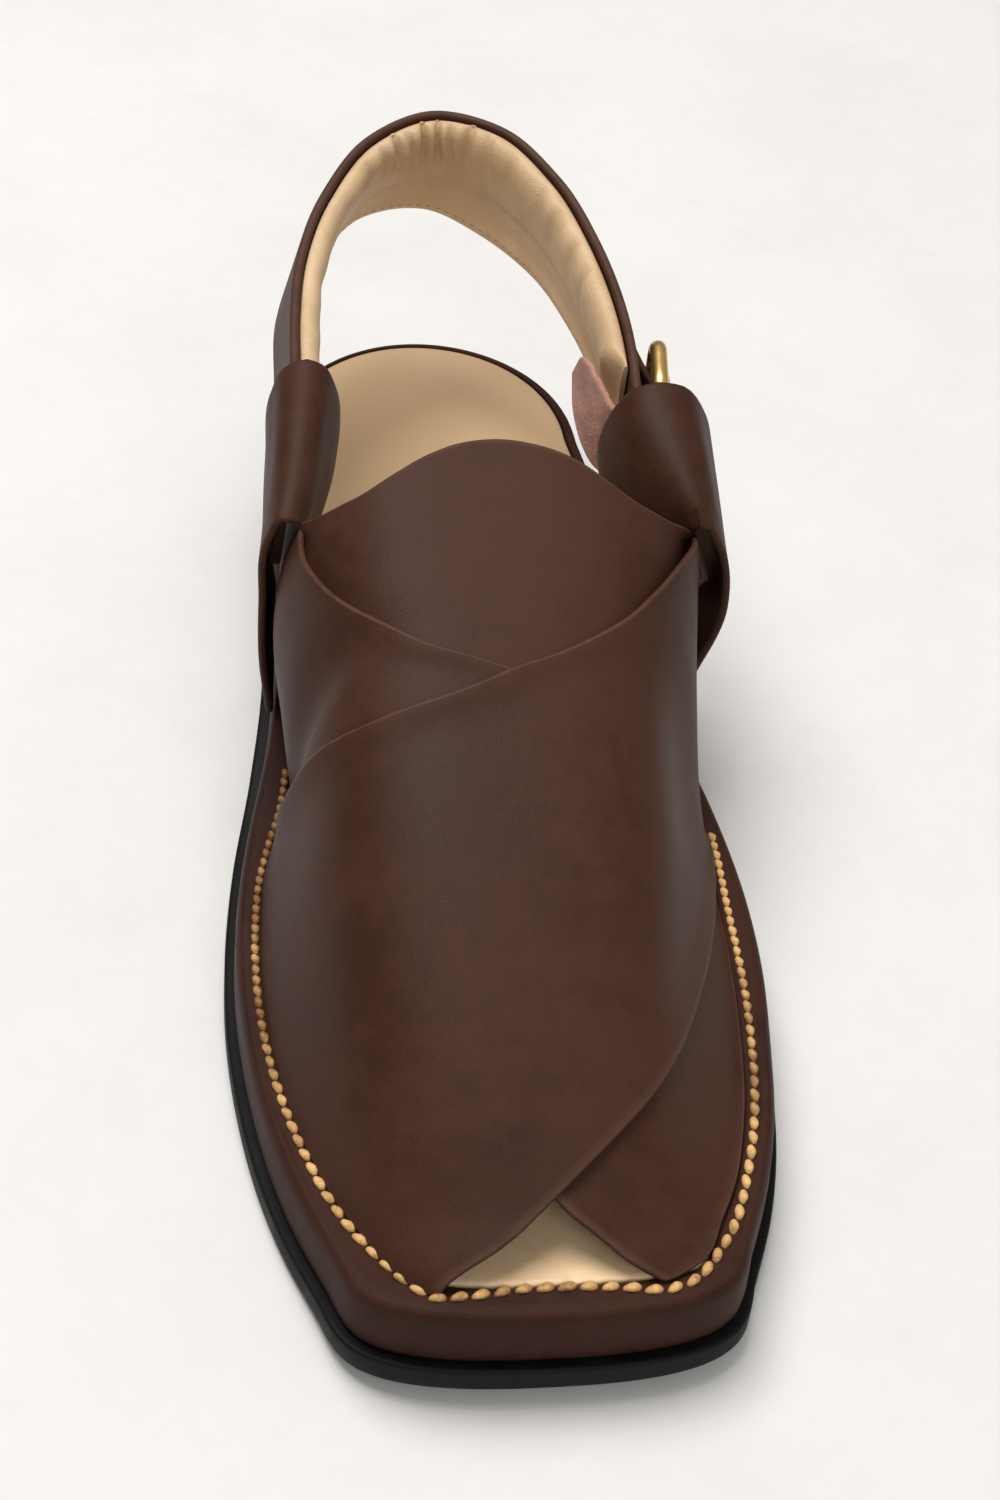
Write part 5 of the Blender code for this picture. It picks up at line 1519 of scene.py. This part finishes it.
class Bead:
    """One hand stitch: a short twist of waxed thread that dips into the leather at both ends."""

    DIP = 0.30  # share of its height that its ends go down
    WAVER = 5.0  # degrees that the stitches turn either way

    def __init__(self, name: str, length: float, width: float, height: float, ply: float = 0.0) -> None:
        """Models the stitch once, lying along X.

        Args:
            name: name of the pattern object.
            length: millimetres from end to end.
            width: millimetres across.
            height: millimetres it stands up.
            ply: how clearly the thread's two twisted strands show.
        """
        deselect_all()
        bpy.ops.mesh.primitive_uv_sphere_add(segments=12, ring_count=9, radius=MM)
        self.pattern = bpy.context.active_object
        self.pattern.name = name
        bpy.ops.object.mode_set(mode="EDIT")
        bpy.ops.mesh.select_all(action="SELECT")
        bpy.ops.transform.rotate(value=math.pi / 2, orient_axis="Y", center_override=(0.0, 0.0, 0.0))
        bpy.ops.transform.resize(value=(length / 2, width / 2, height / 2), center_override=(0.0, 0.0, 0.0))
        bpy.ops.object.mode_set(mode="OBJECT")
        for vertex in self.pattern.data.vertices:
            reach = vertex.co.x / (length / 2 * MM)
            turn = math.atan2(vertex.co.z / height, vertex.co.y / width)
            blunt = math.sqrt((1.0 + abs(reach) + reach**2) / (1.0 + abs(reach)))
            full = blunt * (1.0 + ply * math.cos(2 * (turn - 1.5 * reach)))
            vertex.co.y *= full
            vertex.co.z = vertex.co.z * full - self.DIP * height * MM * reach**2

    def sew(
        self,
        name: str,
        spots: Array,
        forward: Array,
        up: Array,
        sizes: Optional[Array] = None,
        twist: float = 0.0,
    ) -> Piece:
        """Copies the stitch along a seam and joins the copies.

        Args:
            name: the row's name.
            spots: middle of each stitch, in millimetres.
            forward: direction of each stitch.
            up: direction out of the leather.
            sizes: how large each stitch is, against the pattern.
            twist: degrees that each stitch is turned out of line.

        Returns:
            The row as one object.
        """
        copies = []
        for k, (spot, ahead, out) in enumerate(zip(spots, unit(forward), unit(up))):
            ahead = unit(ahead - ahead.dot(out) * out)
            side = np.cross(out, ahead)
            turn = math.radians(twist + self.WAVER * math.sin(2.3 * k))
            cos, sin = math.cos(turn), math.sin(turn)
            ahead, side = cos * ahead + sin * side, cos * side - sin * ahead
            size = (1.0 if sizes is None else float(sizes[k]) ** 0.8) * (1.0 + 0.05 * math.sin(1.7 * k))
            copy = self.pattern.copy()
            copy.data = self.pattern.data.copy()
            columns = [size * ahead, size ** 0.5 * side, out, spot * MM]
            rows = [[column[row] for column in columns] for row in range(3)]
            copy.matrix_world = Matrix([*rows, [0, 0, 0, 1]])
            bpy.context.scene.collection.objects.link(copy)
            copies.append(copy)
        deselect_all()
        for copy in copies:
            copy.select_set(True)
        bpy.context.view_layer.objects.active = copies[0]
        bpy.ops.object.join()
        row = bpy.context.active_object
        row.name = row.data.name = name
        settle(row)
        soften(row, 80.0)
        return row

    def put_away(self) -> None:
        """Removes the pattern."""
        bpy.data.objects.remove(self.pattern)


@dataclass
class SeamStitches:
    """The thick hand stitches along the platform's lip, and the short row beside the lateral ear."""

    sole: SoleForm
    rear_pitch: float = 2.6
    toe_pitch: float = 4.0
    bead: tuple[float, float, float] = (2.5, 1.42, 1.6)  # a stitch's length, width and height
    ply: float = 0.15
    twist: float = 11.0
    welt_rise: float = 0.35
    side_rise: float = 0.2
    side_gap: float = 1.0  # from the lip's inner edge to the short row
    side_from: float = 0.285
    side_to: float = 0.430

    def _row(self, line: Array, rise: float) -> tuple[Array, Array, Array, Array]:
        """Places a row of stitches along a line, further apart towards the toe.

        Args:
            line: points (x, y) of the line.
            rise: height over the lip.

        Returns:
            Middles, directions, upward directions and sizes of the stitches.
        """
        run, rear = run_of(line), self.rear_pitch
        at, steps = [rear / 2], []
        while at[-1] < run[-1]:
            along = self.sole.along_of(np.interp(at[-1], run, line[:, 1]))
            ahead = float(smoothstep((along - 0.60) / 0.36))
            steps.append(rear + (self.toe_pitch - rear) * ahead)
            at.append(at[-1] + steps[-1])
        at = np.array(at[:-1])
        x, y = (np.interp(at, run, line[:, k]) for k in (0, 1))
        spots = np.column_stack([x, y, self.sole.lip(y) + rise])
        up = np.tile((0.0, 0.0, 1.0), (len(at), 1))
        return spots, np.gradient(spots, axis=0), up, np.array(steps) / rear

    def build(self, wardrobe: Wardrobe) -> None:
        """Sews the rows."""
        bead = Bead("bead_pattern", *self.bead, ply=self.ply)
        row = self._row(smooth_path(STITCH_LINE, 400), self.welt_rise)
        wardrobe.dress(bead.sew("welt_stitches", *row, twist=self.twist), GOLD_THREAD)
        edge = self.sole.outline()
        along = self.sole.along_of(edge[:, 1])
        line = self.sole.moved_in(edge, self.sole.lip_edge(edge) - self.side_gap)
        lateral = range(len(edge) // 2)
        beside = [i for i in lateral if self.side_from < along[i] < self.side_to]
        row = self._row(line[beside], self.side_rise)
        wardrobe.dress(bead.sew("heel_stitches_gold", *row, twist=self.twist), GOLD_THREAD)
        bead.put_away()


# ---- heel strap ----------------------------------------------------------------------------


def strap_frames(rows: Sequence[EdgeRow], count: int) -> tuple[Array, Array, Array]:
    """Even stations along a strap.

    Args:
        rows: its top and lower edges.
        count: how many stations.

    Returns:
        Top edge, lower edge and the direction into the shoe at each station.
    """
    path = smooth_path([tuple(row) for row in rows], count)
    top, low = path[:, :3], path[:, 3:]
    forward = np.gradient(0.5 * (top + low), axis=0)
    return top, low, unit(np.cross(forward, top - low))


def strip_profile(height: float, thickness: float, across: int = 8) -> Array:
    """Rounded outline of a strap's cross-section.

    Args:
        height: from edge to edge.
        thickness: of the leather.
        across: steps along each flat side.

    Returns:
        Rows of height above the lower edge and depth inwards.
    """
    radius = thickness / 2
    turns = np.linspace(0.0, math.pi, 7)[1:-1]
    low = np.column_stack([radius - radius * np.sin(turns), radius - radius * np.cos(turns)])
    high = np.column_stack([height - radius + radius * np.sin(turns), radius + radius * np.cos(turns)])
    levels = radius + (height - 2 * radius) * rimmed_shares(across, height, 0.4)
    outer = np.column_stack([levels[::-1], np.zeros(len(levels))])
    inner = np.column_stack([levels, np.full(len(levels), thickness)])
    return np.concatenate([outer, low, inner, high])


def strap_body(name: str, frames: tuple[Array, Array, Array], thickness: float, across: int = 8) -> Piece:
    """A leather strap with rounded edges through stations.

    Args:
        name: the piece's name.
        frames: top edge, lower edge and direction inwards of the stations.
        thickness: of the leather.
        across: steps along each flat side.

    Returns:
        The new object.
    """
    rings, edges = [], []
    for top, low, inwards in zip(*frames):
        height = float(np.linalg.norm(top - low))
        profile = strip_profile(height, thickness, across)
        upwards = (top - low) / height
        rings.append(low + profile[:, :1] * upwards + profile[:, 1:] * inwards)
        near = np.minimum(profile[:, 0], height - profile[:, 0])
        edges.append(np.clip(1.0 - near / (thickness * 0.45), 0.0, 1.0))
    return ring_body(name, rings, edge=edges, degrees=60.0)


@dataclass
class HeelStrap:
    """Brown heel strap with its padded, gathered lining."""

    leather: float = 2.2
    count: int = 420
    lining_from: float = 0.118
    lining_to: float = 0.930
    closing: float = 15.0  # stations over which the lining thins out at its ends
    gathering: float = 1.3  # how strongly the gathers are drawn in
    ripple: float = 0.22
    seam_groove: float = 0.55
    lining_bead: tuple[float, float, float] = (1.7, 0.5, 0.5)  # length, width and height
    lining_pitch: float = 2.4
    # padding's outline: share of the strap's height, depth from the strap
    padding: tuple[tuple[float, float], ...] = (
        (0.03, 0.1), (0.02, 0.9), (0.06, 1.5), (0.20, 1.6), (0.34, 2.4), (0.50, 3.8), (0.68, 4.7),
        (0.82, 4.8), (0.92, 3.9), (0.965, 2.5), (0.97, 1.2), (0.95, 0.2),
    )
    # gathers at the back of the heel: station as a share of the strap, width, depth
    gathers: tuple[tuple[float, float, float], ...] = (
        (0.440, 0.0060, 0.5), (0.468, 0.0050, 0.8), (0.487, 0.0042, 1.6), (0.504, 0.0036, 1.0),
        (0.524, 0.0044, 1.8), (0.545, 0.0046, 1.5), (0.563, 0.0036, 1.0), (0.583, 0.0050, 1.5),
        (0.606, 0.0055, 0.9), (0.640, 0.0080, 0.5), (0.690, 0.0080, 0.6), (0.722, 0.0060, 0.6),
        (0.765, 0.0070, 0.7), (0.800, 0.0060, 0.8),
    )

    def _puff(self, station: float, profile: Array) -> Array:
        """Depth that the padding gains or loses at a station.

        Args:
            station: share of the strap's length.
            profile: the padding's outline there.

        Returns:
            Change of depth at each point of the outline.
        """
        high = smoothstep((profile[:, 0] - 0.36) / 0.50) * smoothstep((profile[:, 1] - 0.6) / 2.0)
        change = np.zeros(len(profile))
        for number, (at, width, depth) in enumerate(self.gathers):
            bend = (0.014 + 0.012 * math.sin(2.6 * number)) * (profile[:, 0] - 0.9)
            spread = width * (1.0 + 0.8 * (1.0 - high))
            change -= self.gathering * depth * hump((station - at + bend) / spread, 1.0) * high**1.5
        change += self.ripple * high * np.sin(station * 95.0) * np.sin(station * 31.0 + 2.0)
        seam_share = 0.34 + 0.10 * smoothstep((station - 0.45) / 0.2)
        seam = hump(profile[:, 0] - seam_share, 0.03) * smoothstep((station - 0.40) / 0.1)
        return change - self.seam_groove * seam * smoothstep((profile[:, 1] - 0.8) / 1.0)

    def build(self, wardrobe: Wardrobe) -> None:
        """Makes the strap, its lining and the lining's stitches."""
        frames = strap_frames(HEEL_STRAP, self.count)
        strap = strap_body("heel_strap_leather", frames, self.leather, 10)
        wardrobe.dress(strap, UPPER_LEATHER, "heel_strap")
        first, last = round(self.lining_from * self.count), round(self.lining_to * self.count)
        top, low, inwards = (part[first:last] for part in frames)
        closed = [(30 * share, depth) for share, depth in (*self.padding, self.padding[0])]
        profile = smooth_path(closed, 65)[:-1] / (30.0, 1.0)
        rings = []
        for k, (t, b, n) in enumerate(zip(top, low, inwards)):
            station = (first + k) / self.count
            ends = smoothstep(min(k, len(top) - 1 - k) / self.closing)
            depth = (profile[:, 1] + self._puff(station, profile)) * (0.25 + 0.75 * ends)
            depth = np.maximum(depth, 0.0) + self.leather + GAP
            rings.append(b + profile[:, :1] * (t - b) + depth[:, None] * n)
        lining = ring_body("padded_lining", rings, degrees=75.0)
        wardrobe.dress(lining, LINING_LEATHER, "strap_lining")
        self._stitch_lower_edge(wardrobe, top, low, inwards)

    def _stitch_lower_edge(self, wardrobe: Wardrobe, top: Array, low: Array, inwards: Array) -> None:
        """Small stitches along the lining's lower edge."""
        line = low + 0.085 * (top - low) + (self.leather + GAP + 1.52) * inwards
        line = line[8:-8]
        run = run_of(line)
        at = np.arange(1.5, run[-1] - 1.5, self.lining_pitch)
        spots = np.stack([np.interp(at, run, line[:, k]) for k in range(3)], axis=1)
        out = np.stack([np.interp(at, run, inwards[8:-8, k]) for k in range(3)], axis=1)
        stitch = Bead("lining_pattern", *self.lining_bead)
        wardrobe.dress(stitch.sew("lining_stitches", spots, np.gradient(spots, axis=0), out), LINING_THREAD)
        stitch.put_away()


# ---- buckle side ---------------------------------------------------------------------------


class Wire:
    """Round wire bent by hand: a circle drawn along straights and spun round corners."""

    def __init__(self, name: str, start: Array, ahead: Array, radius: float, sides: int = 20) -> None:
        """Places the wire's first end.

        Args:
            name: the piece's name.
            start: its middle, in millimetres.
            ahead: the direction the wire sets out in.
            radius: in millimetres.
            sides: facets round the wire.
        """
        deselect_all()
        turn = Vector(ahead).to_track_quat("Z", "Y").to_euler()
        place = Vector(start) * MM
        bpy.ops.mesh.primitive_circle_add(
            vertices=sides, radius=radius * MM, fill_type="NOTHING", location=place, rotation=turn
        )
        self.thing = bpy.context.active_object
        self.thing.name = self.thing.data.name = name
        settle(self.thing)
        activate(self.thing)
        bpy.ops.object.mode_set(mode="EDIT")
        bpy.ops.mesh.select_all(action="SELECT")

    def cap(self) -> None:
        """Closes the end that is selected."""
        bpy.ops.mesh.edge_face_add()

    def straight(self, move: Array, steps: int = 1) -> None:
        """Draws the wire on by a vector."""
        for _ in range(steps):
            step = tuple(float(c) * MM / steps for c in move)
            bpy.ops.mesh.extrude_region_move(TRANSFORM_OT_translate={"value": step})

    def bend(self, centre: Array, axis: Array, degrees: float, steps: int) -> None:
        """Spins the wire's end about an axis."""
        # the operator turns clockwise for a positive angle
        angle = -math.radians(degrees)
        bpy.ops.mesh.spin(steps=steps, angle=angle, center=Vector(centre) * MM, axis=Vector(axis))

    def shrink(self, share: float, centre: Array) -> None:
        """Makes the wire's end smaller."""
        bpy.ops.transform.resize(value=(share, share, share), center_override=Vector(centre) * MM)

    def done(self) -> Piece:
        """Merges what meets and turns the faces outwards."""
        bpy.ops.mesh.select_all(action="SELECT")
        bpy.ops.mesh.remove_doubles(threshold=0.02 * MM)
        bpy.ops.mesh.normals_make_consistent(inside=False)
        bpy.ops.object.mode_set(mode="OBJECT")
        soften(self.thing, 60.0)
        return self.thing


@dataclass
class Buckle:
    """Brass frame and prong, the chape that holds them and its rivet."""

    front: Array = field(default_factory=lambda: np.array(BUCKLE_FRONT))
    rear: Array = field(default_factory=lambda: np.array(BUCKLE_REAR))
    height: float = 22.4
    corner: float = 4.4
    wire: float = 3.8
    prong_wire: float = 1.8
    prong_past: float = 1.6
    prong_eye: float = 280.0
    chape: float = 1.4
    chape_height: float = 12.0
    chape_count: int = 46
    slot_reach: float = 8.5  # how far the prong's slot runs back from the bar
    slot_half: float = 0.13  # half its width, as a share of the chape's height
    rivet_at: float = 0.87  # share of the chape's length

    def axes(self) -> tuple[Array, Array, Array]:
        """Directions from front bar to rear bar, upwards, and out of the shoe."""
        along = unit(self.rear - self.front)
        up = np.array((0.0, 0.0, 1.0))
        up = unit(up - up.dot(along) * along)
        return along, up, np.cross(along, up)

    def build_frame(self, wardrobe: Wardrobe) -> None:
        """The frame: wire drawn up, round each corner and back to its start."""
        along, up, out = self.axes()
        middle = 0.5 * (self.front + self.rear)
        half = 0.5 * float(np.linalg.norm(self.rear - self.front))
        straight_up, straight_along = self.height - 2 * self.corner, 2 * half - 2 * self.corner
        wire = Wire("brass_frame", self.rear, up, self.wire / 2)
        wire.straight(up * straight_up / 2, 3)
        turn = middle + (half - self.corner) * along + straight_up / 2 * up
        sides = ((-along * straight_along, 4), (-up * straight_up, 6), (along * straight_along, 4))
        for move, steps in sides:
            wire.bend(turn, out, 90.0, 8)
            wire.straight(move, steps)
            turn = turn + move
        wire.bend(turn, out, 90.0, 8)
        wire.straight(up * straight_up / 2, 3)
        wardrobe.dress(wire.done(), BRASS, "buckle_frame")

    def build_prong(self, wardrobe: Wardrobe) -> None:
        """The prong: an eye round the front bar, a straight and a tapered tip on the rear bar."""
        along, up, out = self.axes()
        eye = self.wire / 2 + GAP + self.prong_wire / 2
        begin = math.radians(90.0 + self.prong_eye)
        start = self.front + eye * (math.cos(begin) * along + math.sin(begin) * out)
        ahead = math.sin(begin) * along - math.cos(begin) * out
        wire = Wire("brass_prong", start, ahead, self.prong_wire / 2, 14)
        wire.cap()
        wire.bend(self.front, up, self.prong_eye, 24)
        reach = self.rear - self.front
        wire.straight(reach * 0.8, 6)
        wire.straight(reach * 0.2, 2)
        wire.straight(self.prong_past * 0.6 * along)
        tip = self.rear + eye * out + self.prong_past * 0.6 * along
        wire.shrink(0.86, tip)
        wire.straight(self.prong_past * 0.4 * along)
        wire.shrink(0.5, tip + self.prong_past * 0.4 * along)
        wardrobe.dress(wire.done(), BRASS, "buckle_prong")

    def build_chape(self, wardrobe: Wardrobe) -> None:
        """The chape, folded round the front bar and slit for the prong."""
        along, up, _ = self.axes()
        middle = smooth_path(CHAPE_LINE, self.chape_count)
        forward = unit(np.gradient(middle, axis=0))
        forward[0] = -along
        across = unit(up - (forward @ up)[:, None] * forward)
        outwards = np.cross(across, forward)
        around_bar = self.wire / 2 + GAP + self.chape / 2
        pressed = (self.chape + GAP) / 2
        run = np.linalg.norm(middle - middle[0], axis=1)
        apart = (pressed + (around_bar - pressed) * (1 - smoothstep((run - 1.0) / 9.0)))[:, None]
        turns = np.radians(np.linspace(80.0, -80.0, 15))[:, None]
        bend = middle[0] + around_bar * (np.sin(turns) * outwards[0] + np.cos(turns) * along)
        line = np.concatenate([(middle + apart * outwards)[::-1], bend, middle - apart * outwards])
        side = np.concatenate([across[::-1], np.tile(across[0], (len(bend), 1)), across])
        shares = np.array([0.0, 0.03, 0.1, 0.2, 0.3, 0.38, 0.46, 0.54, 0.62, 0.7, 0.8, 0.9, 0.97, 1.0]) - 0.5
        spots = line[:, None] + self.chape_height * shares[None, :, None] * side[:, None]
        reach = np.linalg.norm(line - middle[0], axis=1)

        def is_open(row: int, column: int) -> bool:
            """Whether a cell lies in the prong's slot."""
            inside = -self.slot_half <= shares[column] and shares[column + 1] <= self.slot_half
            return bool(inside) and max(reach[row], reach[row + 1]) < self.slot_reach

        sheet = LeatherSheet()
        half = np.full(spots.shape[:2], self.chape / 2)
        sheet.grid(spots, half, -half, is_open)
        wardrobe.dress(sheet.solid("chape_leather"), CUT_LEATHER, "chape")
        station = round(self.rivet_at * self.chape_count)
        self._rivet(wardrobe, middle[station], outwards[station])

    def _rivet(self, wardrobe: Wardrobe, place: Array, axis: Array) -> None:
        """The rivet: a disc drawn out into a domed head, a shank and a washer."""
        seat = self.chape + GAP / 2 + 0.2
        head = Wire("brass_rivet", place - (seat + 1.0) * axis, axis, 1.2, 24)
        head.cap()
        washer = ((0.12, 1.45), (0.5, 1.22), (0.38, 1.03), (0.0, 0.46))  # rise, growth of the radius
        dome = ((0.0, 2.35), (0.35, 1.0), (0.45, 0.82), (0.3, 0.62), (0.18, 0.5))
        reached = -(seat + 1.0)
        for rise, grow in (*washer, (2 * seat, 1.0), *dome):
            head.straight(axis * rise)
            reached += rise
            head.shrink(grow, place + reached * axis)
        wardrobe.dress(head.done(), BRASS, "rivet")

    def build(self, wardrobe: Wardrobe) -> None:
        """Makes the buckle and what holds it."""
        self.build_frame(wardrobe)
        self.build_prong(wardrobe)
        self.build_chape(wardrobe)


@dataclass
class FasteningStrap:
    """Narrow strap sewn on the heel strap; it passes the buckle and ends inside the lateral ear."""

    leather: float = 1.6
    height: float = 11.5
    lowered: float = 2.4
    count: int = 72
    sewn_from: float = -6.0  # Y where it starts on the heel strap, and where it leaves it
    sewn_to: float = -24.0
    tip: float = 5.0  # length of its rounded ends
    slot: tuple[float, float] = (-49.0, -39.5)  # the prong's slot, along Y
    slot_half: float = 0.14  # half its width, as a share of the strap's height

    def build(self, wardrobe: Wardrobe) -> None:
        """Makes the strap with the hole that the prong is in."""
        top, low, inwards = strap_frames(HEEL_STRAP, 120)
        middle = 0.5 * (top + low) - (1.5 * GAP + self.leather / 2) * inwards
        sewn = [p for p in middle[::2] if p[0] > 0.0 and self.sewn_to < p[1] < self.sewn_from]
        line = smooth_path(sewn + [np.array(p) for p in FASTENING_LINE], self.count)
        line[:, 2] -= self.lowered
        forward = unit(np.gradient(line, axis=0))
        up = np.array((0.0, 0.0, 1.0))
        side = unit(up - (forward @ up)[:, None] * forward)
        shares = np.array([0.0, 0.03, 0.1, 0.2, 0.3, 0.37, 0.46, 0.54, 0.63, 0.7, 0.8, 0.9, 0.97, 1.0]) - 0.5
        run = run_of(line)
        ends = np.clip(np.minimum(run, run[-1] - run) / self.tip, 0.0, 1.0)
        wide = self.height * (0.45 + 0.55 * np.sqrt(ends * (2 - ends)))
        spots = line[:, None] + wide[:, None, None] * shares[None, :, None] * side[:, None]
        sheet = LeatherSheet()
        half = np.full(spots.shape[:2], self.leather / 2)

        def is_open(row: int, column: int) -> bool:
            """Whether a cell lies in the prong's slot."""
            inside = -self.slot_half <= shares[column] and shares[column + 1] <= self.slot_half
            low, high = self.slot
            return inside and low < line[row][1] < high and low < line[row + 1][1] < high + 1.5

        sheet.grid(spots, half, -half, is_open)
        wardrobe.dress(sheet.solid("fastening_strap_leather"), UPPER_LEATHER, "fastening_strap")


@dataclass
class GuardTab:
    """Suede tab between the buckle and the foot."""

    thickness: float = 1.6
    count: int = 44

    def build(self, wardrobe: Wardrobe) -> None:
        """Makes the tab with its rounded tip and slightly waved edge."""
        top, low, inwards = strap_frames(GUARD_TAB, self.count)
        share = np.linspace(0.0, 1.0, self.count)[:, None]
        wave = 0.35 * np.sin(share * 19.0) + 0.2 * np.sin(share * 41.0 + 1.0)
        upwards = unit(top - low)
        frames = (top + wave * upwards, low, inwards)
        wardrobe.dress(strap_body("suede_guard_tab", frames, self.thickness, 10), TAB_SUEDE, "guard_tab")


# ---- studio --------------------------------------------------------------------------------


@dataclass
class Studio:
    """Pale floor, soft lights and the camera."""

    eye: tuple[float, float, float] = (-0.078497, -0.555533, 0.459)
    level_right: tuple[float, float, float] = (0.99949328, -0.03183047, 0.0)  # held level, then
    level_up: tuple[float, float, float] = (0.02211130, 0.69430637, 0.7193398)  # turned to aim
    aim: tuple[float, float, float] = (0.00396, -0.11071, 0.030)
    lens: float = 70.0

    def _area(
        self, name: str, place: tuple, target: tuple, size: float, power: float, colour: Colour
    ) -> None:
        """A soft square light.

        Args:
            name: the light's name.
            place: where it hangs, in metres.
            target: the point it faces.
            size: its side, in metres.
            power: in watts.
            colour: its colour.
        """
        data = bpy.data.lights.new(name, "AREA")
        data.size, data.energy, data.color = size, power, colour
        light = bpy.data.objects.new(name, data)
        bpy.context.scene.collection.objects.link(light)
        light.location = place
        light.rotation_euler = (Vector(target) - Vector(place)).to_track_quat("-Z", "Y").to_euler()

    def _surroundings(self) -> None:
        """Light from all round, brighter from above than from the sides."""
        world = bpy.data.worlds.new("studio_light")
        world.use_nodes = True
        tree = world.node_tree
        way = add_node(tree, "SeparateXYZ", {0: add_node(tree, "TexCoord").outputs["Generated"]})
        lean = math_node(tree, "MULTIPLY_ADD", way.outputs["X"], 0.35, way.outputs["Z"])
        glow = ranged(tree, lean, (-0.2, 1.0), (0.04, 0.38))
        tree.links.new(glow, tree.nodes["Background"].inputs["Strength"])
        tree.nodes["Background"].inputs["Color"].default_value = (1.0, 0.985, 0.965, 1.0)
        bpy.context.scene.world = world

    def build(self, wardrobe: Wardrobe) -> None:
        """Sets up the floor, the lights and the camera."""
        deselect_all()
        bpy.ops.mesh.primitive_plane_add(size=6.0, location=(0.0, 0.0, 0.0))
        floor = bpy.context.active_object
        floor.name = "studio_floor"
        settle(floor)
        floor.data.materials.append(wardrobe.material(FLOOR_PAPER))
        self._area("overhead_light", (-0.27, 0.23, 1.45), (0.0, -0.1, 0.0), 0.85, 20.5, (1.0, 0.985, 0.965))
        self._area("front_light", (0.10, -1.45, 1.15), (0.0, -0.15, 0.03), 0.8, 7.0, (1.0, 0.98, 0.96))
        self._surroundings()
        lens = bpy.data.cameras.new("studio_camera")
        lens.lens, lens.sensor_fit, lens.sensor_height = self.lens, "VERTICAL", 36.0
        lens.clip_start, lens.clip_end = 0.01, 20.0
        camera = bpy.data.objects.new("studio_camera", lens)
        bpy.context.scene.collection.objects.link(camera)
        camera.location = self.eye
        right, up = Vector(self.level_right), Vector(self.level_up)
        backwards = right.cross(up)
        held = Matrix((right, up, backwards)).transposed().to_quaternion()
        turned = (-backwards).rotation_difference(Vector(self.aim) - Vector(self.eye))
        camera.rotation_euler = (turned @ held).to_euler()
        bpy.context.scene.camera = camera
        bpy.context.scene.view_settings.view_transform = "Standard"


def main() -> None:
    """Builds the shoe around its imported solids."""
    logging.basicConfig(level=logging.INFO, format="%(message)s")
    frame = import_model()
    LOG.info("frame with %d solids", len(frame["nodes"]))
    wardrobe = Wardrobe()
    sole = SoleForm()
    last = Last(sole)
    Studio().build(wardrobe)
    Outsole(sole).build(wardrobe)
    Platform(sole).build(wardrobe)
    Upper(last).build(wardrobe)
    SeamStitches(sole).build(wardrobe)
    HeelStrap().build(wardrobe)
    Buckle().build(wardrobe)
    FasteningStrap().build(wardrobe)
    GuardTab().build(wardrobe)


if __name__ == "__main__":
    main()
